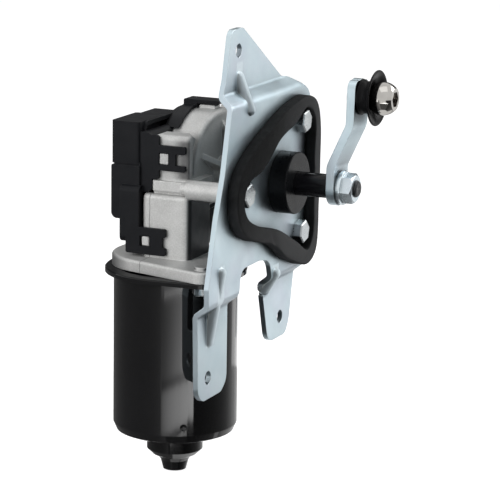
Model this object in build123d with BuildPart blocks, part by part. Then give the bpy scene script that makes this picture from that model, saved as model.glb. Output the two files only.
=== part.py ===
"""Wiper motor with bracket, worm gearbox, connector cover and crank arm.

Millimetres. X runs along the output shaft, out through the front of the bracket. Z is up and
the motor can hangs down. The origin is where the shaft axis meets the front face of the plate.
"""

import os
from math import atan2, cos, degrees, hypot, pi, radians, sin, tan

from build123d import *

os.makedirs("parts", exist_ok=True)

# Clearances
gap = 0.3  # between pieces that don't touch
slip = 0.04  # radial, turning fits
seat = 0.03  # radial, pressed or glued fits
bolt_play = 0.3  # radial, bolt in its hole
thread_play = 0.05  # radial, thread flanks left out

# Bracket plate
plate_t = 2.5
ear_step = 5.8  # how far the three ears sit behind the plate
bend_run = 4.5  # height over which the joggle falls
bend_r = 2.0  # inside bend radius
top_bend_z = 44.0
leg_bend_z = -46.5
ear_hole_r = 3.25
top_hole = (-38.2, 67.7)
left_hole = (-68.1, -82.1)
right_hole = (15.1, -71.0)
bead_r = 2.7
beads = (  # y, bend, side, run over the plate, run over the ear
    (-36.8, top_bend_z, 1, 4.0, 7.0), (-67.0, leg_bend_z, -1, 15.0, 14.0), (-4.0, leg_bend_z, -1, 2.0, 3.5),
)

# Bolts of the plate
bolt_spots = ((-44.6, 1.0), (22.3, 26.6), (21.6, -28.4))
lug_spot = bolt_spots[0]  # this one stands on the lug, the others on the case rim
bolt_r = 3.0
bolt_hex = 10.0
bolt_head = 4.4
bolt_thread = 14.0  # length in the stand-off
standoff_r = 5.6
standoff_root = -41.0  # where the stand-offs grow out of the case

# Foam gasket
foam_t = 5.6
foam_edge = 1.0

# Gear case
case_r = 33.2
case_wall = 2.2
case_front = -31.0
case_back = -47.0
neck_r = 10.3
neck_end = 5.0
rib_t = 2.6
neck_rib_h = 12.0

# Worm gear pair
teeth = 38
wheel_room = 1.3  # between the wheel's tips and the case wall
worm_r = 5.5
addendum = 1.2
dedendum = 1.6
pressure = 20.0
backlash = 0.6
wheel_w = 10.0
wheel_x = -39.0
worm_turns = 4.5
worm_tail = 2.4  # plain shaft past the thread
web_edge = 4.9  # solid rim of the wheel under the pitch line
wheel_boss_r = 11.5

# Output shaft
shaft_r = 5.0
hub_r = 6.0
crank_seat_r = 4.6
stud_r = 4.0
shaft_back = -45.2
bush_r = 8.0
front_bush_l = 9.5
rear_bush_l = 13.0
seal_r = 1.15
shim_t = 0.8
clip_t = 1.0
clip_r = 7.4

# Round spacer on the neck
cap_r = 15.0
cap_l = 9.1
sleeve_r = 5.8

# Crank arm
arm_back = 27.0
arm_t = 4.0
arm_w = 17.5
arm_step = 8.8
arm_step_low = 11.0
arm_step_high = 31.0
crank_length = 44.0
crank_lean = 3.5
washer_t = 1.2
nut_hex = 13.0
nut_flange_r = 8.3
nut_h = 6.9
ball_r = 8.0
ball_x = 50.8
ball_flat = 56.8
socket_hex = 8.0
boot_neck_r = 7.6
boot_lip_r = 13.4
boot_lip_x = 47.0

# Motor
can_r = 30.0
can_t = 1.6
rim_top = -38.7
rim_t = 2.3
rim_r = 34.2
can_bottom = -120.3
can_corner = 5.0
collar_r = 13.6
collar_l = 11.5
nose_r = 8.0
nose_tip_r = 5.6
nose_l = 8.0
flange_top = -33.0
screw_pcr = 36.2  # yoke screws' distance from the can axis
screw_r = 2.5
screw_hex = 8.0
screw_head = 4.0
screw_ear_r = 6.6
core_r = 21.6
brush_room = 21.3  # from the flange down to the core
end_room = 12.3  # from the core down to the can's floor
slots = 10
magnet_t = 5.6
magnet_space = 24.0  # gap between the two magnets
commutator_r = 9.2
commutator_l = 12.0
commutator_room = 8.0  # over the core, for the winding's head
journal_r = 4.0
bearing_r = 9.5
bearing_w = 6.0
bearing_top = -20.0
top_journal_r = 3.0
top_journal_l = 6.4
top_bush_r = 5.5
top_bush_l = 5.6
thrust_ball_r = 2.0

# Worm box and lug of the case
box_front = -26.5
box_back = -51.6
box_half = 13.0  # either side of the motor's axis
box_top = -2.5
box_corner = 3.5
ledge_front = -27.4
ledge_low = -0.9
ledge_high = 3.9
lug_back = -47.0
lug_front = -28.1
lug_room = 12.6  # from the worm's end up to the lug's top
lug_standoff_r = 4.7

# Plastic cover
cover_wall = 2.0
cover_corner = 3.0
lip_t = 1.3  # cover lip round the case
lip_front = -43.8
cover_back = -55.2
lobe_back = -62.0
lobe_bottom = -26.5
switch_back = -66.0
switch_far = 0.0
switch_top = 31.0
switch_bottom = -14.0
hood_back = -68.0
hood_front = -53.2
hood_top = 31.2
hood_bottom = 10.8
relay_bottom = -16.0
socket_wall = 1.8
socket_depth = 12.0
pin_count = 5
pin_t = 0.8
pin_w = 2.8
pin_step = 4.4
clip_strap = 1.6
top_strap_rise = 2.2  # over the case
top_strap_t = 1.8

# Fits and seats derived from the sizes above
wheel_r = case_r - case_wall - wheel_room - addendum
module = 2 * wheel_r / teeth
can_y = -(wheel_r + worm_r)
worm_z = worm_turns / 2 * module * pi
wheel_back = wheel_x - wheel_w / 2
wheel_front = wheel_x + wheel_w / 2
lead_tan = module / 2 / worm_r
plate_back = -plate_t
ear_front = -ear_step
ear_back = -ear_step - plate_t
arm_front = arm_back + arm_t
can_bore = can_r - can_t
case_inner = case_front - case_wall
worm_bore = worm_r + addendum + 0.4
worm_end = worm_z + worm_tail
top_bush_z = worm_end + gap
journal_top = worm_end + top_journal_l
web_r = wheel_r - web_edge
disc_r = web_r - 1.2
collar_end = can_bottom - collar_l
nose_end = collar_end - nose_l
core_top = rim_top - brush_room
core_bottom = can_bottom + end_room
brush_z = core_top + commutator_room + commutator_l / 2
seam = case_back
box_near = can_y - box_half
box_far = can_y + box_half
ledge_near = can_y - 10.8
lug_near = can_y - 8.8
lug_top = worm_end + lug_room
top_strap_z = case_r + top_strap_rise
hood_near = can_y - 12.0
hood_far = can_y + 14.0
switch_near = can_y - 8.0
skirt_far = can_y + 16.0
lobe_far = can_y + 20.0


def across(x):
    """Plane square to the output shaft: sketch Y and Z, extrude along +X."""
    return Plane(origin=(x, 0, 0), x_dir=(0, 1, 0), z_dir=(1, 0, 0))


def beside(y):
    """Upright plane at y: sketch X and Z, extrude towards -Y."""
    return Plane(origin=(0, y, 0), x_dir=(1, 0, 0), z_dir=(0, -1, 0))


def level(z):
    """Level plane at z, sketch X and Y."""
    return Plane(origin=(0, 0, z))


def disc(plane, radius, length, spot=(0, 0), mode=Mode.ADD):
    """Round bar from a plane."""
    with BuildSketch(plane) as face:
        with Locations(spot):
            Circle(radius)
    extrude(face.sketch, amount=length, mode=mode)


def tube(plane, radius, bore, length, spot=(0, 0), mode=Mode.ADD):
    """Round bar with a bore."""
    with BuildSketch(plane) as face:
        with Locations(spot):
            Circle(radius)
            Circle(bore, mode=Mode.SUBTRACT)
    extrude(face.sketch, amount=length, mode=mode)


def block(x, y, z, radius=0.0, plane_of=level, mode=Mode.ADD):
    """Box between pairs of coordinates, its edges square to the sketch plane rounded."""
    spans = {"level": (x, y, z), "beside": (x, z, y), "across": (y, z, x)}
    (a0, a1), (b0, b1), (c0, c1) = spans[plane_of.__name__]
    start = max(c0, c1) if plane_of is beside else min(c0, c1)
    with BuildSketch(plane_of(start)) as face:
        with Locations(((a0 + a1) / 2, (b0 + b1) / 2)):
            if radius:
                RectangleRounded(abs(a1 - a0), abs(b1 - b0), radius)
            else:
                Rectangle(abs(a1 - a0), abs(b1 - b0))
    extrude(face.sketch, amount=abs(c1 - c0), mode=mode)


def outline(plane, corners):
    """Closed outline from (u, v, corner radius) rows."""
    with BuildSketch(plane) as face:
        with BuildLine():
            Polyline(*[(u, v) for u, v, _ in corners], close=True)
        make_face()
        for u, v, r in corners:
            if r:
                fillet(face.vertices().sort_by_distance((u, v, 0))[0], r)
    return face.sketch


def turned(axis_plane, profile, axis, mode=Mode.ADD):
    """Solid of revolution from a closed profile."""
    with BuildSketch(axis_plane) as face:
        with BuildLine():
            Polyline(*profile, close=True)
        make_face()
    revolve(face.sketch, axis=axis, mode=mode)


can_axis = Axis((wheel_x, can_y, 0), (0, 0, 1))
shaft_axis = Axis((0, 0, 0), (1, 0, 0))
can_spot = (wheel_x, can_y)
can_plane = Plane(origin=(wheel_x, can_y, 0), x_dir=(1, 0, 0), z_dir=(0, -1, 0))
screw_spots = [
    (wheel_x + s * screw_pcr * cos(pi / 4), can_y - s * screw_pcr * sin(pi / 4)) for s in (1, -1)
]


# Bracket plate
plate_corners = (
    (-46.3, 78.0, 5.0), (-33.5, 78.0, 6.0), (12.0, 49.4, 4.0), (19.5, 48.2, 5.0),
    (35.5, 39.0, 9.0), (37.0, -38.0, 8.0), (32.0, -48.6, 6.0), (26.5, -75.0, 8.0), (22.5, -81.2, 6.0),
    (1.0, -81.2, 8.0), (-7.8, -49.5, 8.0), (-11.5, -36.5, 8.0), (-24.0, -34.4, 6.0),
    (-44.8, -34.6, 6.0), (-47.3, -50.0, 6.0), (-47.3, -88.0, 7.0), (-53.5, -92.4, 5.0),
    (-73.5, -92.4, 6.0), (-78.8, -88.0, 6.0), (-80.6, -36.5, 6.0), (-72.0, -5.8, 12.0),
    (-64.6, 13.7, 20.0), (-57.2, 43.5, 12.0), (-51.5, 55.4, 14.0),
)
def bead(y, bend_z, side, low_run, high_run, back):
    """Rib bead across a joggle: a bar with ball ends, moved back by the plate for its hollow."""
    low = (-0.4 - back, bend_z - side * low_run)
    high = (ear_front - 0.7 - back, bend_z + side * (bend_run + high_run))
    run, rise = high[0] - low[0], high[1] - low[1]
    length = hypot(run, rise)
    lean = degrees(atan2(run, rise))
    mode = Mode.SUBTRACT if back else Mode.ADD
    with Locations(Location(((low[0] + high[0]) / 2, y, (low[1] + high[1]) / 2), (0, lean, 0))):
        Cylinder(bead_r, length, mode=mode)
    with Locations((low[0], y, low[1]), (high[0], y, high[1])):
        Sphere(bead_r, mode=mode)


with BuildPart() as mounting_plate:
    turn = atan2(ear_step, bend_run)
    inset = plate_t * tan(turn / 2)
    low, high = -100.0, 85.0
    with BuildSketch(beside(40)) as side_view:
        with BuildLine():
            Polyline(
                (ear_front, low), (ear_front, leg_bend_z - bend_run), (0, leg_bend_z),
                (0, top_bend_z), (ear_front, top_bend_z + bend_run), (ear_front, high),
                (ear_back, high), (ear_back, top_bend_z + bend_run - inset),
                (plate_back, top_bend_z - inset), (plate_back, leg_bend_z + inset),
                (ear_back, leg_bend_z - bend_run + inset), (ear_back, low), close=True,
            )
        make_face()
        for x, z, r in (
            (ear_front, leg_bend_z - bend_run, bend_r), (0, leg_bend_z, bend_r + plate_t),
            (0, top_bend_z, bend_r + plate_t), (ear_front, top_bend_z + bend_run, bend_r),
            (ear_back, top_bend_z + bend_run - inset, bend_r + plate_t),
            (plate_back, top_bend_z - inset, bend_r), (plate_back, leg_bend_z + inset, bend_r),
            (ear_back, leg_bend_z - bend_run + inset, bend_r + plate_t),
        ):
            fillet(side_view.vertices().sort_by_distance((x, z, 0))[0], r)
    extrude(side_view.sketch, amount=130)
    extrude(outline(across(5), plate_corners), amount=-20, mode=Mode.INTERSECT)
    for row in beads:
        bead(*row, 0)
    for row in beads:
        bead(*row, plate_t)
    disc(across(-20), neck_r + bolt_play, 30, mode=Mode.SUBTRACT)
    for spot in bolt_spots:
        disc(across(-20), bolt_r + bolt_play, 30, spot, mode=Mode.SUBTRACT)
    for spot in (top_hole, left_hole, right_hole):
        disc(across(-20), ear_hole_r, 30, spot, mode=Mode.SUBTRACT)


# Foam gasket
foam_outside = (
    (37.4, 0.0), (37.0, 20.0), (31.5, 34.8), (22.0, 38.8), (5.0, 36.8), (-11.0, 35.3), (-20.0, 30.2),
    (-31.0, 22.0), (-46.0, 15.6), (-58.5, 10.6), (-61.4, 0.0), (-57.0, -12.0), (-44.0, -20.4),
    (-27.0, -24.7), (-14.0, -29.4), (-2.3, -36.9), (10.2, -41.4), (24.5, -45.0), (33.0, -40.5),
    (36.6, -27.0),
)
foam_inside = (
    (30.0, 0.0), (29.8, 16.0), (28.0, 29.6), (19.0, 33.6), (8.5, 28.8), (-8.1, 24.2), (-20.0, 18.0),
    (-35.4, 10.4), (-48.0, 7.4), (-53.4, 1.5), (-51.0, -6.4), (-42.0, -12.8), (-30.0, -16.4),
    (-12.0, -21.4), (2.0, -27.4), (15.0, -34.2), (24.0, -37.4), (29.0, -32.5), (30.4, -18.0),
)

with BuildPart() as foam_gasket:
    with BuildSketch(across(0)) as ring:
        with BuildLine():
            Spline(*foam_outside, periodic=True)
        make_face()
        with BuildLine(mode=Mode.PRIVATE) as inner:
            Spline(*foam_inside, periodic=True)
        make_face(inner.edges(), mode=Mode.SUBTRACT)
    extrude(ring.sketch, amount=foam_t)
    chamfer(foam_gasket.faces().sort_by(Axis.X)[-1].edges(), foam_edge * 0.6)


# Hex bolts from the plate into the stand-offs
with BuildPart() as plate_bolts:
    for y, z in bolt_spots:
        with BuildSketch(across(0)) as head:
            with Locations((y, z)):
                RegularPolygon(bolt_hex / 2, 6, major_radius=False, rotation=15)
        extrude(head.sketch, amount=bolt_head)
        disc(across(plate_back - bolt_thread), bolt_r, bolt_thread + plate_t, (y, z))
    chamfer(
        plate_bolts.faces().filter_by(Plane.YZ).group_by(Axis.X)[-1].edges(), 0.5
    )


# Gear case
def tooth_outline(x, turn):
    """Wheel outline at x, turned about the shaft."""
    pitch_half = (pi * module - backlash) / 4
    tip = pitch_half - addendum * tan(radians(pressure))
    root = pitch_half + dedendum * tan(radians(pressure - 3))
    points = []
    for i in range(teeth):
        a = pi + turn + (i + 0.5) * 2 * pi / teeth
        for r, w in (
            (wheel_r - dedendum, -root), (wheel_r + addendum, -tip),
            (wheel_r + addendum, tip), (wheel_r - dedendum, root),
        ):
            points.append((r * cos(a) - w * sin(a), r * sin(a) + w * cos(a)))
    with BuildSketch(across(x)) as face:
        with BuildLine():
            Polyline(*points, close=True)
        make_face()
    return face.sketch


def flange_outline(plane, main_r, shift, ear_r):
    """Motor flange: two overlapping rounds joined to two screw ears."""
    with BuildSketch(plane) as face:
        with Locations(can_spot):
            with Locations((-shift, shift / 4), (shift, -shift / 4)):
                Circle(main_r)
        with Locations(*screw_spots):
            Circle(ear_r)
        make_hull()
    return face.sketch


with BuildPart() as worm_box:
    block((box_back, box_front), (box_near, box_far), (flange_top - 2, box_top), box_corner)
    fillet(worm_box.faces().sort_by(Axis.Z)[-1].edges(), 2.0)

with BuildPart() as lug:
    plan = outline(level(ledge_low - 4), (
        (lug_back, lug_near, 0), (lug_front, lug_near, 2.6), (lug_front, lug_near + 2.9, 0),
        (case_front - 2.5, lug_near + 9.8, 2.0), (case_front - 2.5, skirt_far - 4, 0),
        (lug_back, skirt_far - 4, 0),
    ))
    extrude(plan, amount=lug_top - ledge_low + 4)
    slope = outline(across(lug_back - 1), (
        (lug_near + 10.3, lug_top, 0), (skirt_far, lug_top - 7.6, 0), (skirt_far, lug_top + 1, 0),
        (lug_near + 10.3, lug_top + 1, 0),
    ))
    extrude(slope, amount=lug_front - lug_back + 2, mode=Mode.SUBTRACT)
    fillet(lug.edges().filter_by(
        lambda e: abs(e.center().Z - lug_top) < 0.01 and e.center().Y < lug_near + 6), 2.4)

with BuildPart() as gear_housing:
    disc(across(case_back), case_r, case_front - case_back)
    fillet(gear_housing.edges().filter_by(GeomType.CIRCLE).sort_by(Axis.X)[-1], 3.0)
    disc(across(case_front - 1), neck_r, neck_end - case_front + 1)
    for angle in (30, 90, 150, 210, 270, 330):
        with BuildSketch(Plane(origin=(0, 0, 0), x_dir=(1, 0, 0),
                               z_dir=(0, -sin(radians(angle)), cos(radians(angle))))) as web:
            with BuildLine():
                Polyline(
                    (case_front - 0.5, neck_r - 2), (case_front + neck_rib_h, neck_r - 2),
                    (case_front + neck_rib_h, neck_r), (case_front, case_r - 6),
                    (case_front - 0.5, case_r - 6), close=True,
                )
            make_face()
        extrude(web.sketch, amount=rib_t / 2, both=True)
    add(lug.part)
    add(worm_box.part)
    block((case_back, ledge_front), (ledge_near, skirt_far), (ledge_low, ledge_high), 1.4)
    disc(across(ledge_front - 0.5), lug_standoff_r, plate_back - ledge_front + 0.5, lug_spot)
    disc(across(ledge_front - 4), lug_standoff_r - 1.6, 5, (lug_spot[0] + 1, lug_spot[1]))
    for y, z in bolt_spots[1:]:
        disc(across(standoff_root), standoff_r, plate_back - standoff_root, (y, z))
        reach = hypot(y, z)
        with BuildSketch(Plane(origin=(0, 0, 0), x_dir=(1, 0, 0),
                               z_dir=(0, -z / reach, y / reach))) as foot:
            with BuildLine():
                Polyline(
                    (standoff_root, case_r - 4), (case_front + 6, case_r - 4),
                    (case_front + 6, reach), (standoff_root, reach), close=True,
                )
            make_face()
        extrude(foot.sketch, amount=standoff_r - 1.5, both=True)
    extrude(flange_outline(level(rim_top), 24.6, 8.0, 6.3), amount=flange_top - rim_top)
    fillet(
        gear_housing.faces().filter_by(Plane.XY)
        .filter_by(lambda f: abs(f.center().Z - flange_top) < 0.01).edges()
        .filter_by(lambda e: hypot(e.center().X - wheel_x, e.center().Y - can_y) > 22.5), 1.4,
    )
    for spot in screw_spots:
        disc(level(flange_top - 1), 3.6, 2.6, spot)
    block((-50.2, -46.5), (box_near - 1.5, box_near + 1), (-27.1, -22.9), 0.5, beside)
    block((-43.1, -38.8), (lug_near - 1.5, lug_near + 1), (12.0, 16.9), 0.4, beside)
    block((-42.3, -34.0), (-3.0, 3.0), (case_r - 1.5, top_strap_z - 0.8), 0.8, beside)
    disc(across(case_back - 1), case_r - case_wall, case_inner - case_back + 1, mode=Mode.SUBTRACT)
    disc(across(case_inner - 1), bush_r, neck_end + 5 - case_inner, mode=Mode.SUBTRACT)
    disc(level(bearing_top), worm_bore, top_bush_z - bearing_top, can_spot, mode=Mode.SUBTRACT)
    disc(level(rim_top - 1), bearing_r, bearing_top - rim_top + 1, can_spot, mode=Mode.SUBTRACT)
    disc(level(rim_top - 1), 22.0, 3.6, can_spot, mode=Mode.SUBTRACT)
    disc(level(top_bush_z - 3), top_bush_r, top_bush_l + 3 + gap, can_spot, mode=Mode.SUBTRACT)
    disc(level(top_bush_z), top_journal_r + gap, journal_top + 2 * thrust_ball_r + 0.2 - top_bush_z,
         can_spot, mode=Mode.SUBTRACT)
    for spot in bolt_spots:
        disc(across(plate_back - bolt_thread - 3), bolt_r + thread_play, 30, spot, mode=Mode.SUBTRACT)
    for spot in screw_spots:
        disc(level(rim_top - 1), screw_r + thread_play, 6.2, spot, mode=Mode.SUBTRACT)


# Plastic cover with connector shroud and snap clips
socket_y = (hood_near + socket_wall, hood_far - socket_wall)
socket_z = (hood_bottom + socket_wall, hood_top - socket_wall)
pin_spots = [
    ((socket_y[0] + socket_y[1]) / 2 + (i - (pin_count - 1) / 2) * pin_step, (socket_z[0] + socket_z[1]) / 2)
    for i in range(pin_count)
]


def snap_clip(near, root, x_end, low_arm, high_arm, bar):
    """H-shaped clip: two arms from a root plate, joined by a bar beside the catch window."""
    face = (near - gap - clip_strap, near - gap)
    for arm in (low_arm, high_arm):
        block((root, x_end), face, arm, 0.9, beside)
    block(bar, face, (sum(low_arm) / 2, sum(high_arm) / 2), 0, beside)


with BuildPart() as gear_cover:
    turned(beside(0), (
        (seam - 3, case_r - 1.2), (seam - 3, case_r + gap + lip_t), (lip_front, case_r + gap + lip_t),
        (lip_front, case_r + gap), (seam, case_r + gap), (seam, case_r - 1.2),
    ), shaft_axis)
    block((seam - 4, lip_front + 1), (can_y - 6, skirt_far - 1.5), (-40, lug_top + 0.4),
          mode=Mode.SUBTRACT)
    block((seam - 4, lip_front + 1), (can_y - 6, 2), (-40, -28), mode=Mode.SUBTRACT)
    disc(across(cover_back), case_r, seam - cover_back)
    fillet(gear_cover.edges().filter_by(GeomType.CIRCLE).sort_by(Axis.X)[0], cover_corner)
    block((cover_back - 1, seam), (lug_near - gap - clip_strap, skirt_far), (box_top + gap, lug_top + 1),
          cover_corner, beside)
    block((lobe_back, box_back - gap), (box_near - gap - clip_strap, lobe_far), (lobe_bottom, 1),
          cover_corner, across)
    block((-58.8, box_back - gap), (box_near - gap - clip_strap, box_near + 6), (-31.4, lobe_bottom + 4),
          0.9, beside)
    block((box_back - gap, seam + 1), (box_near - 3, box_far + gap), (-36, box_top + gap),
          mode=Mode.SUBTRACT)
    block((switch_back, cover_back + 3), (switch_near, switch_far), (switch_bottom, switch_top), 4.0,
          across)
    block((hood_back, hood_front), (hood_near, hood_far), (hood_bottom, hood_top), 1.6)
    block((hood_back, lobe_back + 9), (hood_near, hood_far), (relay_bottom, hood_bottom - 4),
          cover_corner, beside)
    block((hood_back, lobe_back + 9), (hood_near, hood_far), (relay_bottom + 5, hood_bottom - 0.7),
          0.8, beside)
    block((hood_back + 1.2, lobe_back + 9), (hood_near + 0.6, hood_far - 0.6),
          (hood_bottom - 3, hood_bottom + 1))
    disc(across(cover_back + cover_wall), case_r - case_wall, 20, mode=Mode.SUBTRACT)
    block((cover_back + cover_wall, seam + 5), (lug_near + 2.4, skirt_far), (-2, lug_top - 1.5), 2.0, beside,
          Mode.SUBTRACT)
    block((switch_back + cover_wall, cover_back + 3), (switch_near + 2, switch_far - 2),
          (switch_bottom + 2, switch_top - 2), 2.0, across, Mode.SUBTRACT)
    block((lobe_back + cover_wall, box_back + 1), (box_near + 2.4, lobe_far - 2), (lobe_bottom + 2, -1), 2.0, across,
          Mode.SUBTRACT)
    block((hood_back + 2, lobe_back + 7), (hood_near + 2, hood_far - 2),
          (relay_bottom + 2, hood_bottom - 3.2), 1.0, level, Mode.SUBTRACT)
    block((hood_back + 2, hood_front - 2), (hood_near + 2, hood_far - 2),
          (hood_bottom + 1, hood_top - 2), 1.0, level, Mode.SUBTRACT)
    block((hood_back + socket_depth, hood_back + socket_depth + 1.6), (hood_near + 1, hood_far - 1),
          (hood_bottom, hood_top - 1), 0, level)
    block((hood_back - 1, hood_back + socket_depth), socket_y, socket_z, 1.0, across, Mode.SUBTRACT)
    snap_clip(lug_near, seam - 3, -29.7, (8.9, 11.7), (17.2, 20.9), (-38.4, -34.9))
    snap_clip(box_near, box_back - 4, -37.8, (-31.4, -27.6), (-22.6, -18.5), (-46.1, -39.5))
    block((seam - 3, -43.5), (lug_near - gap - clip_strap, lug_near - gap), (4.4, lug_top), 1.4, beside)
    block((box_back - 4, -51.4), (box_near - gap - clip_strap, box_near), (-30.5, -19.0))
    block((seam - 3, -31.2), (-4.5, 4.5), (top_strap_z, top_strap_z + top_strap_t), 0.7, beside)
    block((seam - 3, -43.0), (-4.5, 4.5), (case_r + gap, top_strap_z + top_strap_t), 0.7, beside)
    block((seam - 3, seam), (-4.5, 4.5), (case_r - 2, top_strap_z + top_strap_t), 0.7, beside)
    for y, z in pin_spots:
        block((hood_back + 3, hood_back + socket_depth + 6), (y - pin_w / 2 - 0.05, y + pin_w / 2 + 0.05),
              (z - pin_t / 2 - 0.05, z + pin_t / 2 + 0.05), mode=Mode.SUBTRACT)

with BuildPart() as cover_seal:
    tube(across(seam - 0.9), case_r - case_wall - 0.2, case_r - case_wall - 1.6, 2.4)

with BuildPart() as connector_pins:
    for y, z in pin_spots:
        block((hood_back + 3, hood_back + socket_depth + 5), (y - pin_w / 2, y + pin_w / 2),
              (z - pin_t / 2, z + pin_t / 2))

with BuildPart() as park_contacts:
    for y in (-16.0, -8.0, 0.0):
        block((cover_back + cover_wall, wheel_back - 4.4), (y - 2.0, y + 2.0), (10.5, 13.0))
        block((wheel_back - 4.4, wheel_back - 3.6), (y - 1.6, y + 1.6), (10.5, 17.5))
        block((wheel_back - 3.6, wheel_back - 0.9), (y - 1.0, y + 1.0), (15.5, 17.5), 0.8)


# Worm wheel and output shaft
with BuildPart() as worm_wheel:
    twist = lead_tan * wheel_w / 2 / wheel_r
    loft([tooth_outline(wheel_back, -twist), tooth_outline(wheel_front, twist)], ruled=True)
    for x in (wheel_back, wheel_front - 3.2):
        tube(across(x), web_r, wheel_boss_r, 3.2, mode=Mode.SUBTRACT)
    for i in range(8):
        with BuildSketch(across(wheel_back)) as spoke:
            with Locations(Location((0, 0, 0), (0, 0, i * 45))):
                with Locations(((web_r + wheel_boss_r) / 2, 0)):
                    Rectangle(web_r - wheel_boss_r + 0.9, 2.0)
        extrude(spoke.sketch, amount=wheel_w)
    disc(across(wheel_back - 1), hub_r + seat, wheel_w + 2, mode=Mode.SUBTRACT)

with BuildPart() as contact_disc:
    tube(across(wheel_back - 0.6), disc_r, 9.0, 0.6)
    with BuildSketch(across(wheel_back - 0.6)) as notch:
        with BuildLine():
            Polyline((disc_r - 6.9, -3.0), (disc_r + 1.6, -5.0), (disc_r + 1.6, 7.0), (disc_r - 6.9, 4.0),
                     close=True)
        make_face()
    extrude(notch.sketch, amount=0.6, mode=Mode.SUBTRACT)

with BuildPart() as wheel_washer:
    tube(across(wheel_front), 9.5, shaft_r + slip, case_inner - wheel_front)

with BuildPart() as output_shaft:
    disc(across(shaft_back), hub_r, wheel_front - shaft_back)
    disc(across(wheel_front), shaft_r, arm_back - wheel_front)
    tube(across(neck_end + shim_t), shaft_r + 1, shaft_r - 0.5, clip_t + 0.1, mode=Mode.SUBTRACT)
    disc(across(arm_back), crank_seat_r, arm_t - 0.4)
    disc(across(arm_front - 0.4), stud_r, washer_t + nut_h + 1.9)
    chamfer(output_shaft.faces().sort_by(Axis.X)[-1].edges(), 0.8)
    chamfer(output_shaft.faces().sort_by(Axis.X)[0].edges(), 0.8)

with BuildPart() as rear_bush:
    tube(across(case_inner), bush_r - seat, shaft_r + slip, rear_bush_l)

with BuildPart() as front_bush:
    tube(across(neck_end - 3 - front_bush_l), bush_r - seat, shaft_r + slip, front_bush_l)

with BuildPart() as shaft_seal:
    with BuildSketch(beside(0)) as section:
        with Locations((neck_end - 1.5, shaft_r + seal_r + slip)):
            Circle(seal_r)
    revolve(section.sketch, axis=shaft_axis)

with BuildPart() as neck_shim:
    tube(across(neck_end), 8.6, shaft_r + slip, shim_t)

with BuildPart() as shaft_clip:
    tube(across(neck_end + shim_t + 0.02), clip_r, shaft_r - 0.45, clip_t)
    block((neck_end, neck_end + 4), (-1.6, 1.6), (3.0, 10.0), mode=Mode.SUBTRACT)

with BuildPart() as seal_cap:
    cavity_end = neck_end + shim_t + clip_t + gap
    disc(across(0), cap_r, cap_l)
    fillet(seal_cap.faces().sort_by(Axis.X)[-1].edges(), 0.5)
    disc(across(-1), neck_r + seat, cavity_end + 1, mode=Mode.SUBTRACT)
    disc(across(0), sleeve_r + slip + 0.04, cap_l + 1, mode=Mode.SUBTRACT)

with BuildPart() as shaft_sleeve:
    tube(across(cavity_end + 0.1), sleeve_r, shaft_r + seat, arm_back - cavity_end - 0.1)


# Crank arm, ball stud and boot, drawn upright and turned to the rest lean
def leaned(piece):
    """The piece turned about the shaft to the crank's rest angle."""
    return piece.part.rotate(shaft_axis, -crank_lean)


with BuildPart() as crank_arm:
    step_turn = atan2(arm_step, arm_step_high - arm_step_low)
    shift = arm_t * tan(step_turn / 2)
    top = crank_length + arm_w / 2
    with BuildSketch(beside(arm_w)) as side_view:
        with BuildLine():
            Polyline(
                (arm_front, -arm_w), (arm_front, arm_step_low - shift),
                (arm_front + arm_step, arm_step_high - shift), (arm_front + arm_step, top),
                (arm_back + arm_step, top), (arm_back + arm_step, arm_step_high),
                (arm_back, arm_step_low), (arm_back, -arm_w), close=True,
            )
        make_face()
        for x, z, r in (
            (arm_front, arm_step_low - shift, 6.0), (arm_back, arm_step_low, 10.0),
            (arm_front + arm_step, arm_step_high - shift, 10.0),
            (arm_back + arm_step, arm_step_high, 6.0),
        ):
            fillet(side_view.vertices().sort_by_distance((x, z, 0))[0], r)
    extrude(side_view.sketch, amount=2 * arm_w)
    with BuildSketch(across(arm_back - 5)) as front_view:
        with Locations((0, crank_length / 2)):
            SlotCenterToCenter(crank_length, arm_w, rotation=90)
        with Locations((0, crank_length / 2 + 2)):
            RectangleRounded(arm_w, crank_length + 12, 4.0)
    extrude(front_view.sketch, amount=40, mode=Mode.INTERSECT)
    disc(across(0), crank_seat_r + seat, 60, mode=Mode.SUBTRACT)
    disc(across(0), 4.0 + seat, 60, (0, crank_length), mode=Mode.SUBTRACT)

with BuildPart() as crank_washer:
    tube(across(arm_front), 7.4, stud_r + bolt_play, washer_t)

with BuildPart() as crank_nut:
    start = arm_front + washer_t
    disc(across(start), nut_flange_r, 1.6)
    with BuildSketch(across(start)) as hexagon:
        RegularPolygon(nut_hex / 2, 6, major_radius=False, rotation=10)
    extrude(hexagon.sketch, amount=nut_h)
    with BuildSketch(beside(0)) as cone:
        with BuildLine():
            Polyline((start, 0), (start, nut_flange_r), (start + 1.0, nut_flange_r),
                     (start + 2.4, nut_hex / 2 + 1.2), (start + nut_h - 1.0, nut_hex / 2 + 1.2),
                     (start + nut_h, nut_hex / 2 - 0.2), (start + nut_h, 0), close=True)
        make_face()
    revolve(cone.sketch, axis=shaft_axis, mode=Mode.INTERSECT)
    disc(across(start - 1), stud_r + thread_play, 20, mode=Mode.SUBTRACT)

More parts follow.
